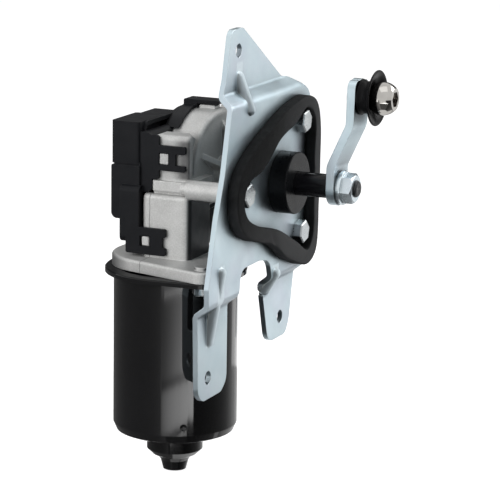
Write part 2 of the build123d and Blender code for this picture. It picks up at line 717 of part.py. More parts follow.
with BuildPart() as ball_stud:
    stud_back = arm_back + arm_step
    with BuildSketch(beside(0)) as half:
        with BuildLine():
            Polyline(
                (stud_back - 1.4, crank_length), (stud_back - 1.4, crank_length + 5.6),
                (stud_back, crank_length + 5.6), (stud_back, crank_length + 4.0),
                (ball_x, crank_length + 4.0), (ball_x, crank_length), close=True,
            )
        make_face()
    revolve(half.sketch, axis=Axis((0, 0, crank_length), (1, 0, 0)))
    with Locations((ball_x, 0, crank_length)):
        Sphere(ball_r)
    block((ball_flat, ball_flat + 9), (-12, 12), (crank_length - 12, crank_length + 12),
          mode=Mode.SUBTRACT)
    with BuildSketch(across(ball_flat - 3.2)) as socket:
        with Locations((0, crank_length)):
            RegularPolygon(socket_hex / 2 - 0.6, 6, major_radius=False)
    extrude(socket.sketch, amount=6, mode=Mode.SUBTRACT)

with BuildPart() as ball_boot:
    boot_back = arm_front + arm_step
    with BuildSketch(beside(0)) as half:
        with BuildLine():
            Line((boot_back, crank_length + 4.0 + seat), (boot_back, crank_length + boot_neck_r + 1.0))
            Spline((boot_back, crank_length + boot_neck_r + 1.0),
                   (boot_back + 2.6, crank_length + boot_neck_r),
                   (boot_lip_x - 1.2, crank_length + boot_lip_r - 2.4),
                   (boot_lip_x + 0.3, crank_length + boot_lip_r))
            Line((boot_lip_x + 0.3, crank_length + boot_lip_r),
                 (boot_lip_x + 1.3, crank_length + boot_lip_r - 0.4))
            Spline((boot_lip_x + 1.3, crank_length + boot_lip_r - 0.4),
                   (boot_lip_x + 0.6, crank_length + boot_lip_r - 3.2),
                   (boot_lip_x - 2.0, crank_length + boot_neck_r - 1.6))
            Line((boot_lip_x - 2.0, crank_length + boot_neck_r - 1.6),
                 (boot_back + 2.2, crank_length + 4.0 + seat))
            Line((boot_back + 2.2, crank_length + 4.0 + seat), (boot_back, crank_length + 4.0 + seat))
        make_face()
    revolve(half.sketch, axis=Axis((0, 0, crank_length), (1, 0, 0)))


# Motor can, hung under the flange
with BuildPart() as motor_can:
    turned(can_plane, (
        (0, rim_top), (can_r + 1.0, rim_top), (can_r + 1.0, rim_top - rim_t), (can_r, rim_top - rim_t - 1.5),
        (can_r, can_bottom + can_corner), (can_r - 1.5, can_bottom + 1.5),
        (can_r - can_corner, can_bottom), (collar_r, can_bottom), (collar_r, collar_end + 2.6),
        (collar_r - 2.6, collar_end), (nose_r, collar_end - 1.6), (nose_r - 1.2, nose_end + 4.6),
        (nose_tip_r, nose_end), (0, nose_end),
    ), can_axis)
    with BuildSketch(level(rim_top - rim_t)) as rim:
        with Locations(can_spot):
            Circle(rim_r)
        with Locations(*screw_spots):
            Circle(screw_ear_r)
        make_hull()
    extrude(rim.sketch, amount=rim_t)
    chamfer(motor_can.faces().sort_by(Axis.Z)[-1].edges(), 0.5)
    turned(can_plane, (
        (0, rim_top + 1), (can_bore, rim_top + 1), (can_bore, can_bottom + can_corner),
        (can_bore - 3.2, can_bottom + can_t), (collar_r - can_t, can_bottom + can_t),
        (collar_r - can_t, collar_end + can_t), (4.9, collar_end + can_t), (4.9, nose_end + 2.2),
        (0, nose_end + 2.2),
    ), can_axis, Mode.SUBTRACT)
    for spot in screw_spots:
        disc(level(rim_top - 5), screw_r + bolt_play, 8, spot, mode=Mode.SUBTRACT)
    for i in range(4):
        a = radians(-56.6 + 90 * i)
        with Locations((wheel_x + (can_r + 0.9) * cos(a), can_y + (can_r + 0.9) * sin(a), -111.0)):
            Sphere(1.9, mode=Mode.SUBTRACT)

with BuildPart() as yoke_screws:
    under = rim_top - rim_t
    for spot in screw_spots:
        with BuildSketch(level(under - screw_head)) as hexagon:
            with Locations(spot):
                RegularPolygon(screw_hex / 2, 6, major_radius=False, rotation=12)
        extrude(hexagon.sketch, amount=screw_head)
        disc(level(under), screw_r, rim_t + 4.8, spot)
    chamfer(yoke_screws.faces().sort_by(Axis.Z).group_by(Axis.Z)[0].edges(), 0.5)

with BuildPart() as magnets:
    tube(level(core_bottom - 4), can_bore - seat, can_bore - magnet_t, core_top - core_bottom + 8, can_spot)
    block((wheel_x - magnet_space / 2, wheel_x + magnet_space / 2), (can_y - can_r, can_y + can_r),
          (can_bottom, rim_top), mode=Mode.SUBTRACT)


# Armature with the worm cut on its shaft
with BuildPart() as armature_shaft:
    disc(level(nose_end + 3.8), journal_r, bearing_top - nose_end - 3.8, can_spot)
    disc(level(bearing_top), worm_r - dedendum, worm_end - bearing_top, can_spot)
    disc(level(worm_end), top_journal_r, top_journal_l, can_spot)
    chamfer(armature_shaft.faces().sort_by(Axis.Z)[-1].edges(), 0.6)
    half_root = (pi * module - backlash) / 4 + dedendum * tan(radians(pressure))
    half_tip = (pi * module - backlash) / 4 - addendum * tan(radians(pressure))
    with BuildLine() as path:
        Helix(pitch=pi * module, height=2 * worm_z, radius=worm_r, center=(wheel_x, can_y, -worm_z))
    with BuildSketch(beside(can_y)) as tooth:
        with BuildLine():
            Polyline(
                (wheel_x + worm_r - dedendum - 0.3, -worm_z - half_root),
                (wheel_x + worm_r + addendum, -worm_z - half_tip),
                (wheel_x + worm_r + addendum, -worm_z + half_tip),
                (wheel_x + worm_r - dedendum - 0.3, -worm_z + half_root), close=True,
            )
        make_face()
    sweep(tooth.sketch, path=path.line, is_frenet=True)

with BuildPart() as armature_core:
    with BuildSketch(level(core_bottom)) as stack:
        with Locations(can_spot):
            Circle(core_r)
            Circle(journal_r + seat, mode=Mode.SUBTRACT)
            with PolarLocations(0, slots):
                with Locations((core_r - 7, 0)):
                    RectangleRounded(9.6, 5.6, 2.0, mode=Mode.SUBTRACT)
                with Locations((core_r - 0.6, 0)):
                    Rectangle(6.0, 2.0, mode=Mode.SUBTRACT)
    extrude(stack.sketch, amount=core_top - core_bottom)

with BuildPart() as armature_winding:
    for z0, z1 in ((core_top, core_top + 6.5), (core_bottom - 7, core_bottom)):
        tube(level(z0), core_r - 2.2, journal_r + 2.2, z1 - z0, can_spot)
    chamfer(armature_winding.edges().filter_by(GeomType.CIRCLE).filter_by(
        lambda e: e.radius > core_r - 3 and (e.center().Z > core_top + 1 or e.center().Z < core_bottom - 1)
    ), 2.2)
    with BuildSketch(level(core_bottom)) as bundles:
        with Locations(can_spot):
            with PolarLocations(0, slots):
                with Locations((core_r - 7, 0)):
                    RectangleRounded(9.0, 5.0, 1.8)
    extrude(bundles.sketch, amount=core_top - core_bottom)

with BuildPart() as commutator:
    low = core_top + commutator_room
    with BuildSketch(level(low)) as bars:
        with Locations(can_spot):
            Circle(commutator_r)
            Circle(journal_r + seat, mode=Mode.SUBTRACT)
            with PolarLocations(0, slots):
                with Locations((commutator_r, 0)):
                    Rectangle(1.6, 0.6, mode=Mode.SUBTRACT)
    extrude(bars.sketch, amount=commutator_l)

with BuildPart() as brush_holder:
    tube(level(brush_z + 3.8), can_bore - 0.3, commutator_r + 1.2, 1.8, can_spot)
    for s in (-1, 1):
        ends = sorted((wheel_x + s * (commutator_r + 1.8), wheel_x + s * (commutator_r + 14.8)))
        for y0, y1 in ((can_y - 4.8, can_y - 3.3), (can_y + 3.3, can_y + 4.8)):
            block(ends, (y0, y1), (brush_z - 3.8, brush_z + 4.0))
        block(ends, (can_y - 4.8, can_y + 4.8), (brush_z - 5.0, brush_z - 3.4))

with BuildPart() as brushes:
    for s in (-1, 1):
        ends = sorted((wheel_x + s * (commutator_r + 0.15), wheel_x + s * (commutator_r + 10.8)))
        block(ends, (can_y - 3.1, can_y + 3.1), (brush_z - 3.2, brush_z + 3.5))

with BuildPart() as brush_springs:
    for s in (-1, 1):
        near, far = commutator_r + 10.9, commutator_r + 14.8
        for r0, r1, z in ((near, near + 1, -3.0), (far - 1, far, -3.0), (near, far, 2.4)):
            ends = sorted((wheel_x + s * r0, wheel_x + s * r1))
            block(ends, (can_y - 3.0, can_y + 3.0), (brush_z + z, brush_z + 3.4))

with BuildPart() as chokes:
    for s in (-1, 1):
        disc(beside(can_y + s * 18.0 + 6.0), 2.6, 12.0, (wheel_x + s * 6.0, brush_z + 3.8 - 2.7))

with BuildPart() as worm_bearing:
    low = bearing_top - bearing_w
    tube(level(low), bearing_r - seat, bearing_r - 1.9, bearing_w, can_spot)
    tube(level(low), journal_r + 1.7, journal_r + seat, bearing_w, can_spot)
    tube(level(low + 2.0), bearing_r - 1.9, journal_r + 1.7, 2.0, can_spot)

with BuildPart() as top_bush:
    tube(level(top_bush_z), top_bush_r - seat, top_journal_r + slip, top_bush_l, can_spot)

with BuildPart() as thrust_ball:
    with Locations((wheel_x, can_y, journal_top + thrust_ball_r)):
        Sphere(thrust_ball_r)

with BuildPart() as lower_bush:
    tube(level(collar_end + can_t), collar_r - can_t - seat, journal_r + slip, 6.5, can_spot)

with BuildPart() as thrust_pad:
    disc(level(nose_end + 2.2), 4.8, 1.5, can_spot)


pieces = {
    "mounting_plate": mounting_plate.part, "foam_gasket": foam_gasket.part,
    "plate_bolts": plate_bolts.part, "gear_housing": gear_housing.part,
    "gear_cover": gear_cover.part, "cover_seal": cover_seal.part,
    "connector_pins": connector_pins.part, "park_contacts": park_contacts.part,
    "worm_wheel": worm_wheel.part, "contact_disc": contact_disc.part,
    "wheel_washer": wheel_washer.part, "output_shaft": output_shaft.part,
    "rear_bush": rear_bush.part, "front_bush": front_bush.part, "shaft_seal": shaft_seal.part,
    "neck_shim": neck_shim.part, "shaft_clip": shaft_clip.part, "seal_cap": seal_cap.part,
    "shaft_sleeve": shaft_sleeve.part, "crank_arm": leaned(crank_arm),
    "crank_washer": crank_washer.part, "crank_nut": crank_nut.part,
    "ball_stud": leaned(ball_stud), "ball_boot": leaned(ball_boot),
    "motor_can": motor_can.part, "yoke_screws": yoke_screws.part, "magnets": magnets.part,
    "armature_shaft": armature_shaft.part, "armature_core": armature_core.part,
    "armature_winding": armature_winding.part, "commutator": commutator.part,
    "brush_holder": brush_holder.part, "brushes": brushes.part,
    "brush_springs": brush_springs.part, "chokes": chokes.part,
    "worm_bearing": worm_bearing.part, "top_bush": top_bush.part,
    "thrust_ball": thrust_ball.part, "lower_bush": lower_bush.part,
    "thrust_pad": thrust_pad.part,
}
for name, piece in pieces.items():
    piece.label = name
    export_step(piece, f"parts/{name}.step")
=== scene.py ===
"""Looks of the wiper motor: finishes, soft pieces, small details, floor, light and camera.

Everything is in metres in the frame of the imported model. X runs along the output shaft, out
through the front of the bracket. Z is up and the motor can hangs down.
"""

import logging
import math
from dataclasses import dataclass
from enum import Enum
from typing import Callable, ClassVar, Sequence

import bpy
import numpy as np
from mathutils import Matrix, Vector, noise


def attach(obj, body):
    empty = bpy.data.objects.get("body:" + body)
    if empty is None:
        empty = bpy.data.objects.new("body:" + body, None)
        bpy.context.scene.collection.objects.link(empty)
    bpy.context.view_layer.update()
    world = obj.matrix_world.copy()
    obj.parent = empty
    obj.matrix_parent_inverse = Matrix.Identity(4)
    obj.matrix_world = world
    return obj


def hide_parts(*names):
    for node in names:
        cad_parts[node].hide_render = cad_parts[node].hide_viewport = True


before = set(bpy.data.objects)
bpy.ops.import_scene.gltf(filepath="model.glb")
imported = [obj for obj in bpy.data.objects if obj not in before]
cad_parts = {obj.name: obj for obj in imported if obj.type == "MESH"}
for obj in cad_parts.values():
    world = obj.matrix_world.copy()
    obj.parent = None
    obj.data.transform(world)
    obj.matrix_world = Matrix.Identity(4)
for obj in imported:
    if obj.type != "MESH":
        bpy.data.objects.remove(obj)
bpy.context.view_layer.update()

MM = 0.001
WHITE = (1.0, 1.0, 1.0)
Colour = tuple[float, float, float]
Span = tuple[float, float]
Spots = tuple[tuple[float, float], ...]
Socket = bpy.types.NodeSocket
log = logging.getLogger("wiper_motor")


class Body(Enum):
    """The bodies that pieces made here move with."""

    BASE = "base"
    OUTPUT = "output"


class Effect(Enum):
    """The shader node groups that several finishes share."""

    CLOUDS = "clouds"
    SPECKS = "specks"
    SOFT_EDGES = "soft_edges"
    CONTACT = "contact_shade"


@dataclass
class Board:
    """A node tree with short ways to add, feed and join its nodes."""

    tree: bpy.types.NodeTree

    @classmethod
    def fresh(cls, owner: bpy.types.Material | bpy.types.World) -> "Board":
        """The emptied node tree of a material or world.

        Args:
            owner: the material or world.

        Returns:
            A board over its emptied tree.
        """
        owner.use_nodes = True
        owner.node_tree.nodes.clear()
        return cls(owner.node_tree)

    def end(self, result: Socket, kind: str = "OutputMaterial") -> None:
        """Joins the finished shader to a new output node."""
        self.tree.links.new(result, self.put(kind).inputs[0])

    def feed(self, socket: Socket, value: object) -> None:
        """Joins a socket to another one, or sets it.

        Args:
            socket: the input to feed.
            value: an output socket, a number, a colour or a vector.
        """
        if isinstance(value, bpy.types.NodeSocket):
            self.tree.links.new(value, socket)
        elif socket.type == "RGBA" and len(value) == 3:
            socket.default_value = (*value, 1.0)
        else:
            socket.default_value = value

    def put(self, kind: str, feeds: dict[object, object] | None = None,
            **settings: object) -> bpy.types.Node:
        """Adds a node.

        Args:
            kind: the node's type without its ShaderNode start.
            feeds: input name or number to value or socket.
            **settings: properties of the node.

        Returns:
            The new node.
        """
        node = self.tree.nodes.new("ShaderNode" + kind)
        for name, value in settings.items():
            setattr(node, name, value)
        for name, value in (feeds or {}).items():
            self.feed(node.inputs[name], value)
        return node

    def calc(self, operation: str, first: object, second: object = 0.0,
             clamp: bool = False) -> Socket:
        """A Math node's result.

        Args:
            operation: the node's operation.
            first: first number or socket.
            second: second number or socket.
            clamp: keeps the result between 0 and 1.

        Returns:
            The output socket.
        """
        node = self.put("Math", {0: first, 1: second}, operation=operation, use_clamp=clamp)
        return node.outputs[0]

    def plus(self, first: object, second: object, clamp: bool = False) -> Socket:
        """The sum of two values."""
        return self.calc("ADD", first, second, clamp)

    def minus(self, first: object, second: object, clamp: bool = False) -> Socket:
        """The first value less the second."""
        return self.calc("SUBTRACT", first, second, clamp)

    def times(self, first: object, second: object, clamp: bool = False) -> Socket:
        """The product of two values."""
        return self.calc("MULTIPLY", first, second, clamp)

    def over(self, first: object, second: object) -> Socket:
        """The first value divided by the second."""
        return self.calc("DIVIDE", first, second)

    def ease(self, value: object, low: float, high: float) -> Socket:
        """A smooth step from 0 at low to 1 at high.

        Args:
            value: the number or socket that is eased.
            low: where the step starts.
            high: where it ends.

        Returns:
            The output socket.
        """
        node = self.put("MapRange", {"Value": value, "From Min": low, "From Max": high},
                        interpolation_type="SMOOTHSTEP")
        return node.outputs["Result"]

    def fade(self, length: object, span: Span) -> Socket:
        """A smooth step from 0 to 1 over a span in millimetres."""
        return self.ease(length, span[0] * MM, span[1] * MM)

    def between(self, ends: Span, share: object) -> Socket:
        """The first end at a share of 0, the second at 1."""
        return self.plus(ends[0], self.times(share, ends[1] - ends[0]))

    def tint(self, factor: object, first: object, second: object) -> Socket:
        """Mixes two colours.

        Args:
            factor: share of the second colour.
            first: first colour or socket.
            second: second colour or socket.

        Returns:
            The mixed colour's socket.
        """
        node = self.put("Mix", data_type="RGBA")
        self.feed(node.inputs[0], factor)
        self.feed(node.inputs[6], first)
        self.feed(node.inputs[7], second)
        return node.outputs[2]

    def place(self) -> Socket:
        """Object coordinates, in metres."""
        return self.put("TexCoord").outputs["Object"]

    def parts_of(self, vector: Socket) -> tuple[Socket, Socket, Socket]:
        """The X, Y and Z of a vector."""
        node = self.put("SeparateXYZ", {0: vector})
        return node.outputs[0], node.outputs[1], node.outputs[2]


class Effects:
    """Builds each shared node group once and places it in materials.

    Attributes:
        FINE: detail and roughness of the specks' fine noise, and its share of their height.
        LUMPS: how coarse the lumps among the specks are, and their share of the height.
        TONE: heights between which the specks' tone runs from 0 to 1.
        EDGE_SAMPLES: rays that look for an edge.
        CORNER_SAMPLES: rays that look for a corner.
    """

    FINE = (2.0, 0.6, 0.65)
    LUMPS = (0.55, 0.5)
    TONE = (0.35, 0.85)
    EDGE_SAMPLES = 6
    CORNER_SAMPLES = 8

    def __init__(self) -> None:
        """Starts with no group built."""
        self._built: dict[Effect, bpy.types.NodeTree] = {}
        self._plans: dict[Effect, tuple[dict[str, float], dict[str, str], Callable]] = {
            Effect.CLOUDS: ({"Size": 8.0, "Detail": 3.0, "Low": 0.3, "High": 0.7},
                            {"Amount": "Float"}, self._clouds),
            Effect.SPECKS: ({"Size": 0.5, "Depth": 1.0}, {"Height": "Float", "Tone": "Float"},
                            self._specks),
            Effect.SOFT_EDGES: ({"Radius": 0.3, "Gain": 6.0}, {"Mask": "Float", "Normal": "Vector"},
                                self._soft_edges),
            Effect.CONTACT: ({"Reach": 10.0, "Gain": 1.0}, {"Mask": "Float"}, self._contact),
        }

    def use(self, board: Board, effect: Effect, **feeds: object) -> bpy.types.Node:
        """Places a group.

        Args:
            board: the material's board.
            effect: which group.
            **feeds: input name, with _ for a space, to value or socket.

        Returns:
            The group node.
        """
        if effect not in self._built:
            self._built[effect] = self._build(effect)
        node = board.put("Group")
        node.node_tree = self._built[effect]
        for name, value in feeds.items():
            board.feed(node.inputs[name.replace("_", " ")], value)
        return node

    def first(self, board: Board, effect: Effect, **feeds: object) -> Socket:
        """Places a group and gives its first output."""
        return self.use(board, effect, **feeds).outputs[0]

    def _build(self, effect: Effect) -> bpy.types.NodeTree:
        """Makes a group with its sockets and fills it.

        Args:
            effect: which group.

        Returns:
            The group's tree.
        """
        inputs, outputs, fill = self._plans[effect]
        tree = bpy.data.node_groups.new(effect.value, "ShaderNodeTree")
        for name, value in inputs.items():
            socket = tree.interface.new_socket(name=name, in_out="INPUT",
                                               socket_type="NodeSocketFloat")
            socket.default_value = value
        for name, kind in outputs.items():
            tree.interface.new_socket(name=name, in_out="OUTPUT", socket_type="NodeSocket" + kind)
        start, end = tree.nodes.new("NodeGroupInput"), tree.nodes.new("NodeGroupOutput")
        board = Board(tree)
        for name, socket in fill(board, start.outputs).items():
            board.feed(end.inputs[name], socket)
        return tree

    @staticmethod
    def _clouds(board: Board, given: bpy.types.NodeOutputs) -> dict[str, Socket]:
        """Soft patches, Size millimetres wide.

        Args:
            board: the group's board.
            given: the group's inputs.

        Returns:
            The outputs' names and sockets.
        """
        scale = board.over(1000.0, given["Size"])
        tex = board.put("TexNoise", {"Vector": board.place(), "Scale": scale,
                                     "Detail": given["Detail"]})
        spread = board.put("MapRange", {"Value": tex.outputs[0], "From Min": given["Low"],
                                        "From Max": given["High"]})
        return {"Amount": spread.outputs["Result"]}

    @staticmethod
    def _specks(board: Board, given: bpy.types.NodeOutputs) -> dict[str, Socket]:
        """Fine grain of two sizes, its height in metres.

        Args:
            board: the group's board.
            given: the group's inputs.

        Returns:
            The outputs' names and sockets.
        """
        scale = board.over(1000.0, given["Size"])
        detail, roughness, fine_share = Effects.FINE
        coarse, lump_share = Effects.LUMPS
        fine = board.put("TexNoise", {"Vector": board.place(), "Scale": scale, "Detail": detail,
                                      "Roughness": roughness})
        lumps = board.put("TexVoronoi", {"Vector": board.place(),
                                         "Scale": board.times(scale, coarse)})
        both = board.plus(board.times(fine.outputs[0], fine_share),
                          board.times(lumps.outputs[0], lump_share))
        return {"Height": board.times(board.times(both, given["Depth"]), MM),
                "Tone": board.ease(both, *Effects.TONE)}

    @staticmethod
    def _soft_edges(board: Board, given: bpy.types.NodeOutputs) -> dict[str, Socket]:
        """Rounded edges, and where they are.

        Args:
            board: the group's board.
            given: the group's inputs.

        Returns:
            The outputs' names and sockets.
        """
        radius = board.times(given["Radius"], MM)
        soft = board.put("Bevel", {"Radius": radius}, samples=Effects.EDGE_SAMPLES)
        flat = board.put("NewGeometry").outputs["Normal"]
        dot = board.put("VectorMath", {0: soft.outputs[0], 1: flat}, operation="DOT_PRODUCT")
        bend = board.minus(1.0, dot.outputs["Value"])
        return {"Mask": board.times(bend, given["Gain"], clamp=True),
                "Normal": soft.outputs[0]}

    @staticmethod
    def _contact(board: Board, given: bpy.types.NodeOutputs) -> dict[str, Socket]:
        """How far the place lies in a corner or beside something tall, Reach millimetres round; the
        mask of painted shade in corners.

        Args:
            board: the group's board.
            given: the group's inputs.

        Returns:
            The outputs' names and sockets.
        """
        near = board.put("AmbientOcclusion", {"Distance": board.times(given["Reach"], MM)},
                         samples=Effects.CORNER_SAMPLES)
        shut = board.minus(1.0, near.outputs["AO"])
        return {"Mask": board.times(shut, given["Gain"], clamp=True)}


effects = Effects()
made: dict[str, bpy.types.Material] = {}


@dataclass(frozen=True)
class Finish:
    """A surface finish. Lengths are in millimetres.

    Each finish makes one material, which its pieces share.

    Attributes:
        patch: width of the patches in which its two colours drift.
        rough_spread: how far the roughness drifts.
        grain: width of a grain.
        edge: radius that edges are shaded with.
        edge_gain: how fast edges take the edge colour.
    """

    name: str
    colour: Colour
    second: Colour
    patch: float = 12.0
    metallic: float = 0.0
    roughness: float = 0.5
    rough_spread: float = 0.06
    grain: float = 0.5
    grain_depth: float = 0.0
    edge: float = 0.3
    edge_colour: Colour | None = None
    edge_gain: float = 5.0
    coat: float = 0.0
    coat_roughness: float = 0.05
    specular: float = 0.5

    def tone(self, board: Board) -> Socket:
        """The colour before the edge colour is mixed in."""
        cloud = effects.first(board, Effect.CLOUDS, Size=self.patch)
        return board.tint(cloud, self.colour, self.second)

    def height(self, board: Board) -> Socket | None:
        """The height that the bump takes, in metres.

        Args:
            board: the material's board.

        Returns:
            The height's socket, or nothing for a smooth finish.
        """
        if not self.grain_depth:
            return None
        return effects.first(board, Effect.SPECKS, Size=self.grain, Depth=self.grain_depth)

    def rounding(self, board: Board) -> object:
        """Radius that edges are shaded with."""
        return self.edge

    def soften(self, board: Board, normal: Socket) -> Socket:
        """The normal after the edges are rounded."""
        return normal

    def coating(self, board: Board) -> object:
        """The weight of the clear coat."""
        return self.coat

    def metal(self, board: Board) -> object:
        """How metallic the surface is."""
        return self.metallic

    def gloss(self, board: Board) -> Socket:
        """The roughness over the surface.

        Args:
            board: the material's board.

        Returns:
            The roughness socket.
        """
        cloud = effects.first(board, Effect.CLOUDS, Size=self.patch * 0.6, Detail=5.0)
        return board.plus(self.roughness - self.rough_spread / 2,
                          board.times(cloud, self.rough_spread))

    def material(self) -> bpy.types.Material:
        """Makes the material, or gives the one already made.

        Returns:
            The finished material.
        """
        if self.name in made:
            return made[self.name]
        material = made[self.name] = bpy.data.materials.new(self.name + "_look")
        board = Board.fresh(material)
        shader = board.put("BsdfPrincipled")
        edges = effects.use(board, Effect.SOFT_EDGES, Radius=self.rounding(board),
                            Gain=self.edge_gain)
        colour = self.tone(board)
        # edge colour: lighter cut and worn edges on the metals, and a painted highlight along the
        # black plastic's edges
        if self.edge_colour:
            colour = board.tint(edges.outputs["Mask"], colour, self.edge_colour)
        normal = self.soften(board, edges.outputs["Normal"])
        height = self.height(board)
        if height:
            normal = board.put("Bump", {"Height": height, "Distance": 1.0, "Strength": 1.0,
                                        "Normal": normal}).outputs[0]
        board.feed(shader.inputs["Base Color"], colour)
        board.feed(shader.inputs["Roughness"], self.gloss(board))
        board.feed(shader.inputs["Normal"], normal)
        board.feed(shader.inputs["Metallic"], self.metal(board))
        shader.inputs["Specular IOR Level"].default_value = self.specular
        board.feed(shader.inputs["Coat Weight"], self.coating(board))
        shader.inputs["Coat Roughness"].default_value = self.coat_roughness
        board.end(shader.outputs[0])
        return material


@dataclass(frozen=True)
class ZincFinish(Finish):
    """Blue passivated zinc with faint lilac patches and rolling marks, with painted shade in its
    corners and a painted highlight on its pressed beads.

    Attributes:
        shade: painted shade colour for corners, standing in for the plate mirroring what is dark
            beside it.
        contact: how strongly the painted shade darkens corners.
        beads: place across, place up and half length of each bead pressed into a bend.
        bead_sides: half width of a bead, from the end of its run-out to its full mask.
        bead_highlight_colour: painted highlight colour that the beads are paled towards.
    """

    lilac: Colour = (0.60, 0.58, 0.68)
    lilac_patch: float = 30.0
    lilac_share: float = 0.55
    # painted shade colour of the corners
    shade: Colour = (0.02, 0.025, 0.03)
    contact: float = 0.6
    contact_reach: float = 15.0
    beads: tuple[tuple[float, float, float], ...] = (
        (-36.8, 50.8, 12.0), (-67.0, -48.0, 20.0), (-4.0, -47.5, 8.0))
    bead_sides: Span = (4.0, 2.9)
    bead_run_out: float = 1.5
    # painted highlight colour on the pressed beads, and how much of it they take
    bead_highlight_colour: Colour = (0.76, 0.87, 0.92)
    bead_highlight_share: float = 0.75
    bead_edge: float = 1.4
    bead_dullness: float = 0.35
    bead_flatness: float = 0.72
    mark: float = 4.0
    mark_depth: float = 0.012

    def tone(self, board: Board) -> Socket:
        """Blue zinc that drifts to lilac, with painted shade in its corners and a painted highlight
        on its beads.

        Args:
            board: the material's board.

        Returns:
            The colour's socket.
        """
        blue = super().tone(board)
        drift = effects.first(board, Effect.CLOUDS, Size=self.lilac_patch, Low=0.45, High=0.75)
        blue = board.tint(board.times(drift, self.lilac_share), blue, self.lilac)
        # painted shade: corners are darkened towards the shade colour, standing in for dark things
        # mirrored beside them
        near = effects.first(board, Effect.CONTACT, Reach=self.contact_reach, Gain=self.contact)
        pressed = self._pressed(board)
        shut = board.times(near, board.minus(1.0, pressed, clamp=True))
        # painted highlight: the beads are paled towards the bead highlight colour and kept out of
        # the painted shade
        return board.tint(board.times(pressed, self.bead_highlight_share),
                          board.tint(shut, blue, self.shade), self.bead_highlight_colour)

    def rounding(self, board: Board) -> object:
        """Small on cut edges, large on the pressed beads."""
        return board.plus(self.edge, board.times(self._pressed(board), self.bead_edge))

    def metal(self, board: Board) -> object:
        """Duller where the sheet was stretched over the beads."""
        return board.minus(1.0, board.times(self._pressed(board), self.bead_dullness))

    def soften(self, board: Board, normal: Socket) -> Socket:
        """Flattens the beads' shading towards the sheet's own face.

        Args:
            board: the material's board.
            normal: the normal with rounded edges.

        Returns:
            The flattened normal.
        """
        mix = board.put("Mix", data_type="VECTOR")
        board.feed(mix.inputs[0], board.times(self._pressed(board), self.bead_flatness))
        board.feed(mix.inputs[4], normal)
        mix.inputs[5].default_value = (1.0, 0.0, 0.0)
        return board.put("VectorMath", {0: mix.outputs[1]}, operation="NORMALIZE").outputs[0]

    def _pressed(self, board: Board) -> Socket:
        """Mask of the beads pressed into the bends of the bracket.

        Args:
            board: the material's board.

        Returns:
            1 on the beads, 0 beside them.
        """
        _, y, z = board.parts_of(board.place())
        mask: object = 0.0
        for across, up, reach in self.beads:
            off_y = board.calc("ABSOLUTE", board.minus(y, across * MM))
            off_z = board.calc("ABSOLUTE", board.minus(z, up * MM))
            here = board.times(board.fade(off_y, self.bead_sides),
                               board.fade(off_z, (reach, reach - self.bead_run_out)))
            mask = board.plus(mask, here)
        return mask

    def height(self, board: Board) -> Socket | None:
        """Shallow rolling marks over a fine crystal grain."""
        marks = effects.first(board, Effect.CLOUDS, Size=self.mark, Detail=2.0)
        return board.plus(super().height(board), board.times(marks, self.mark_depth * MM))


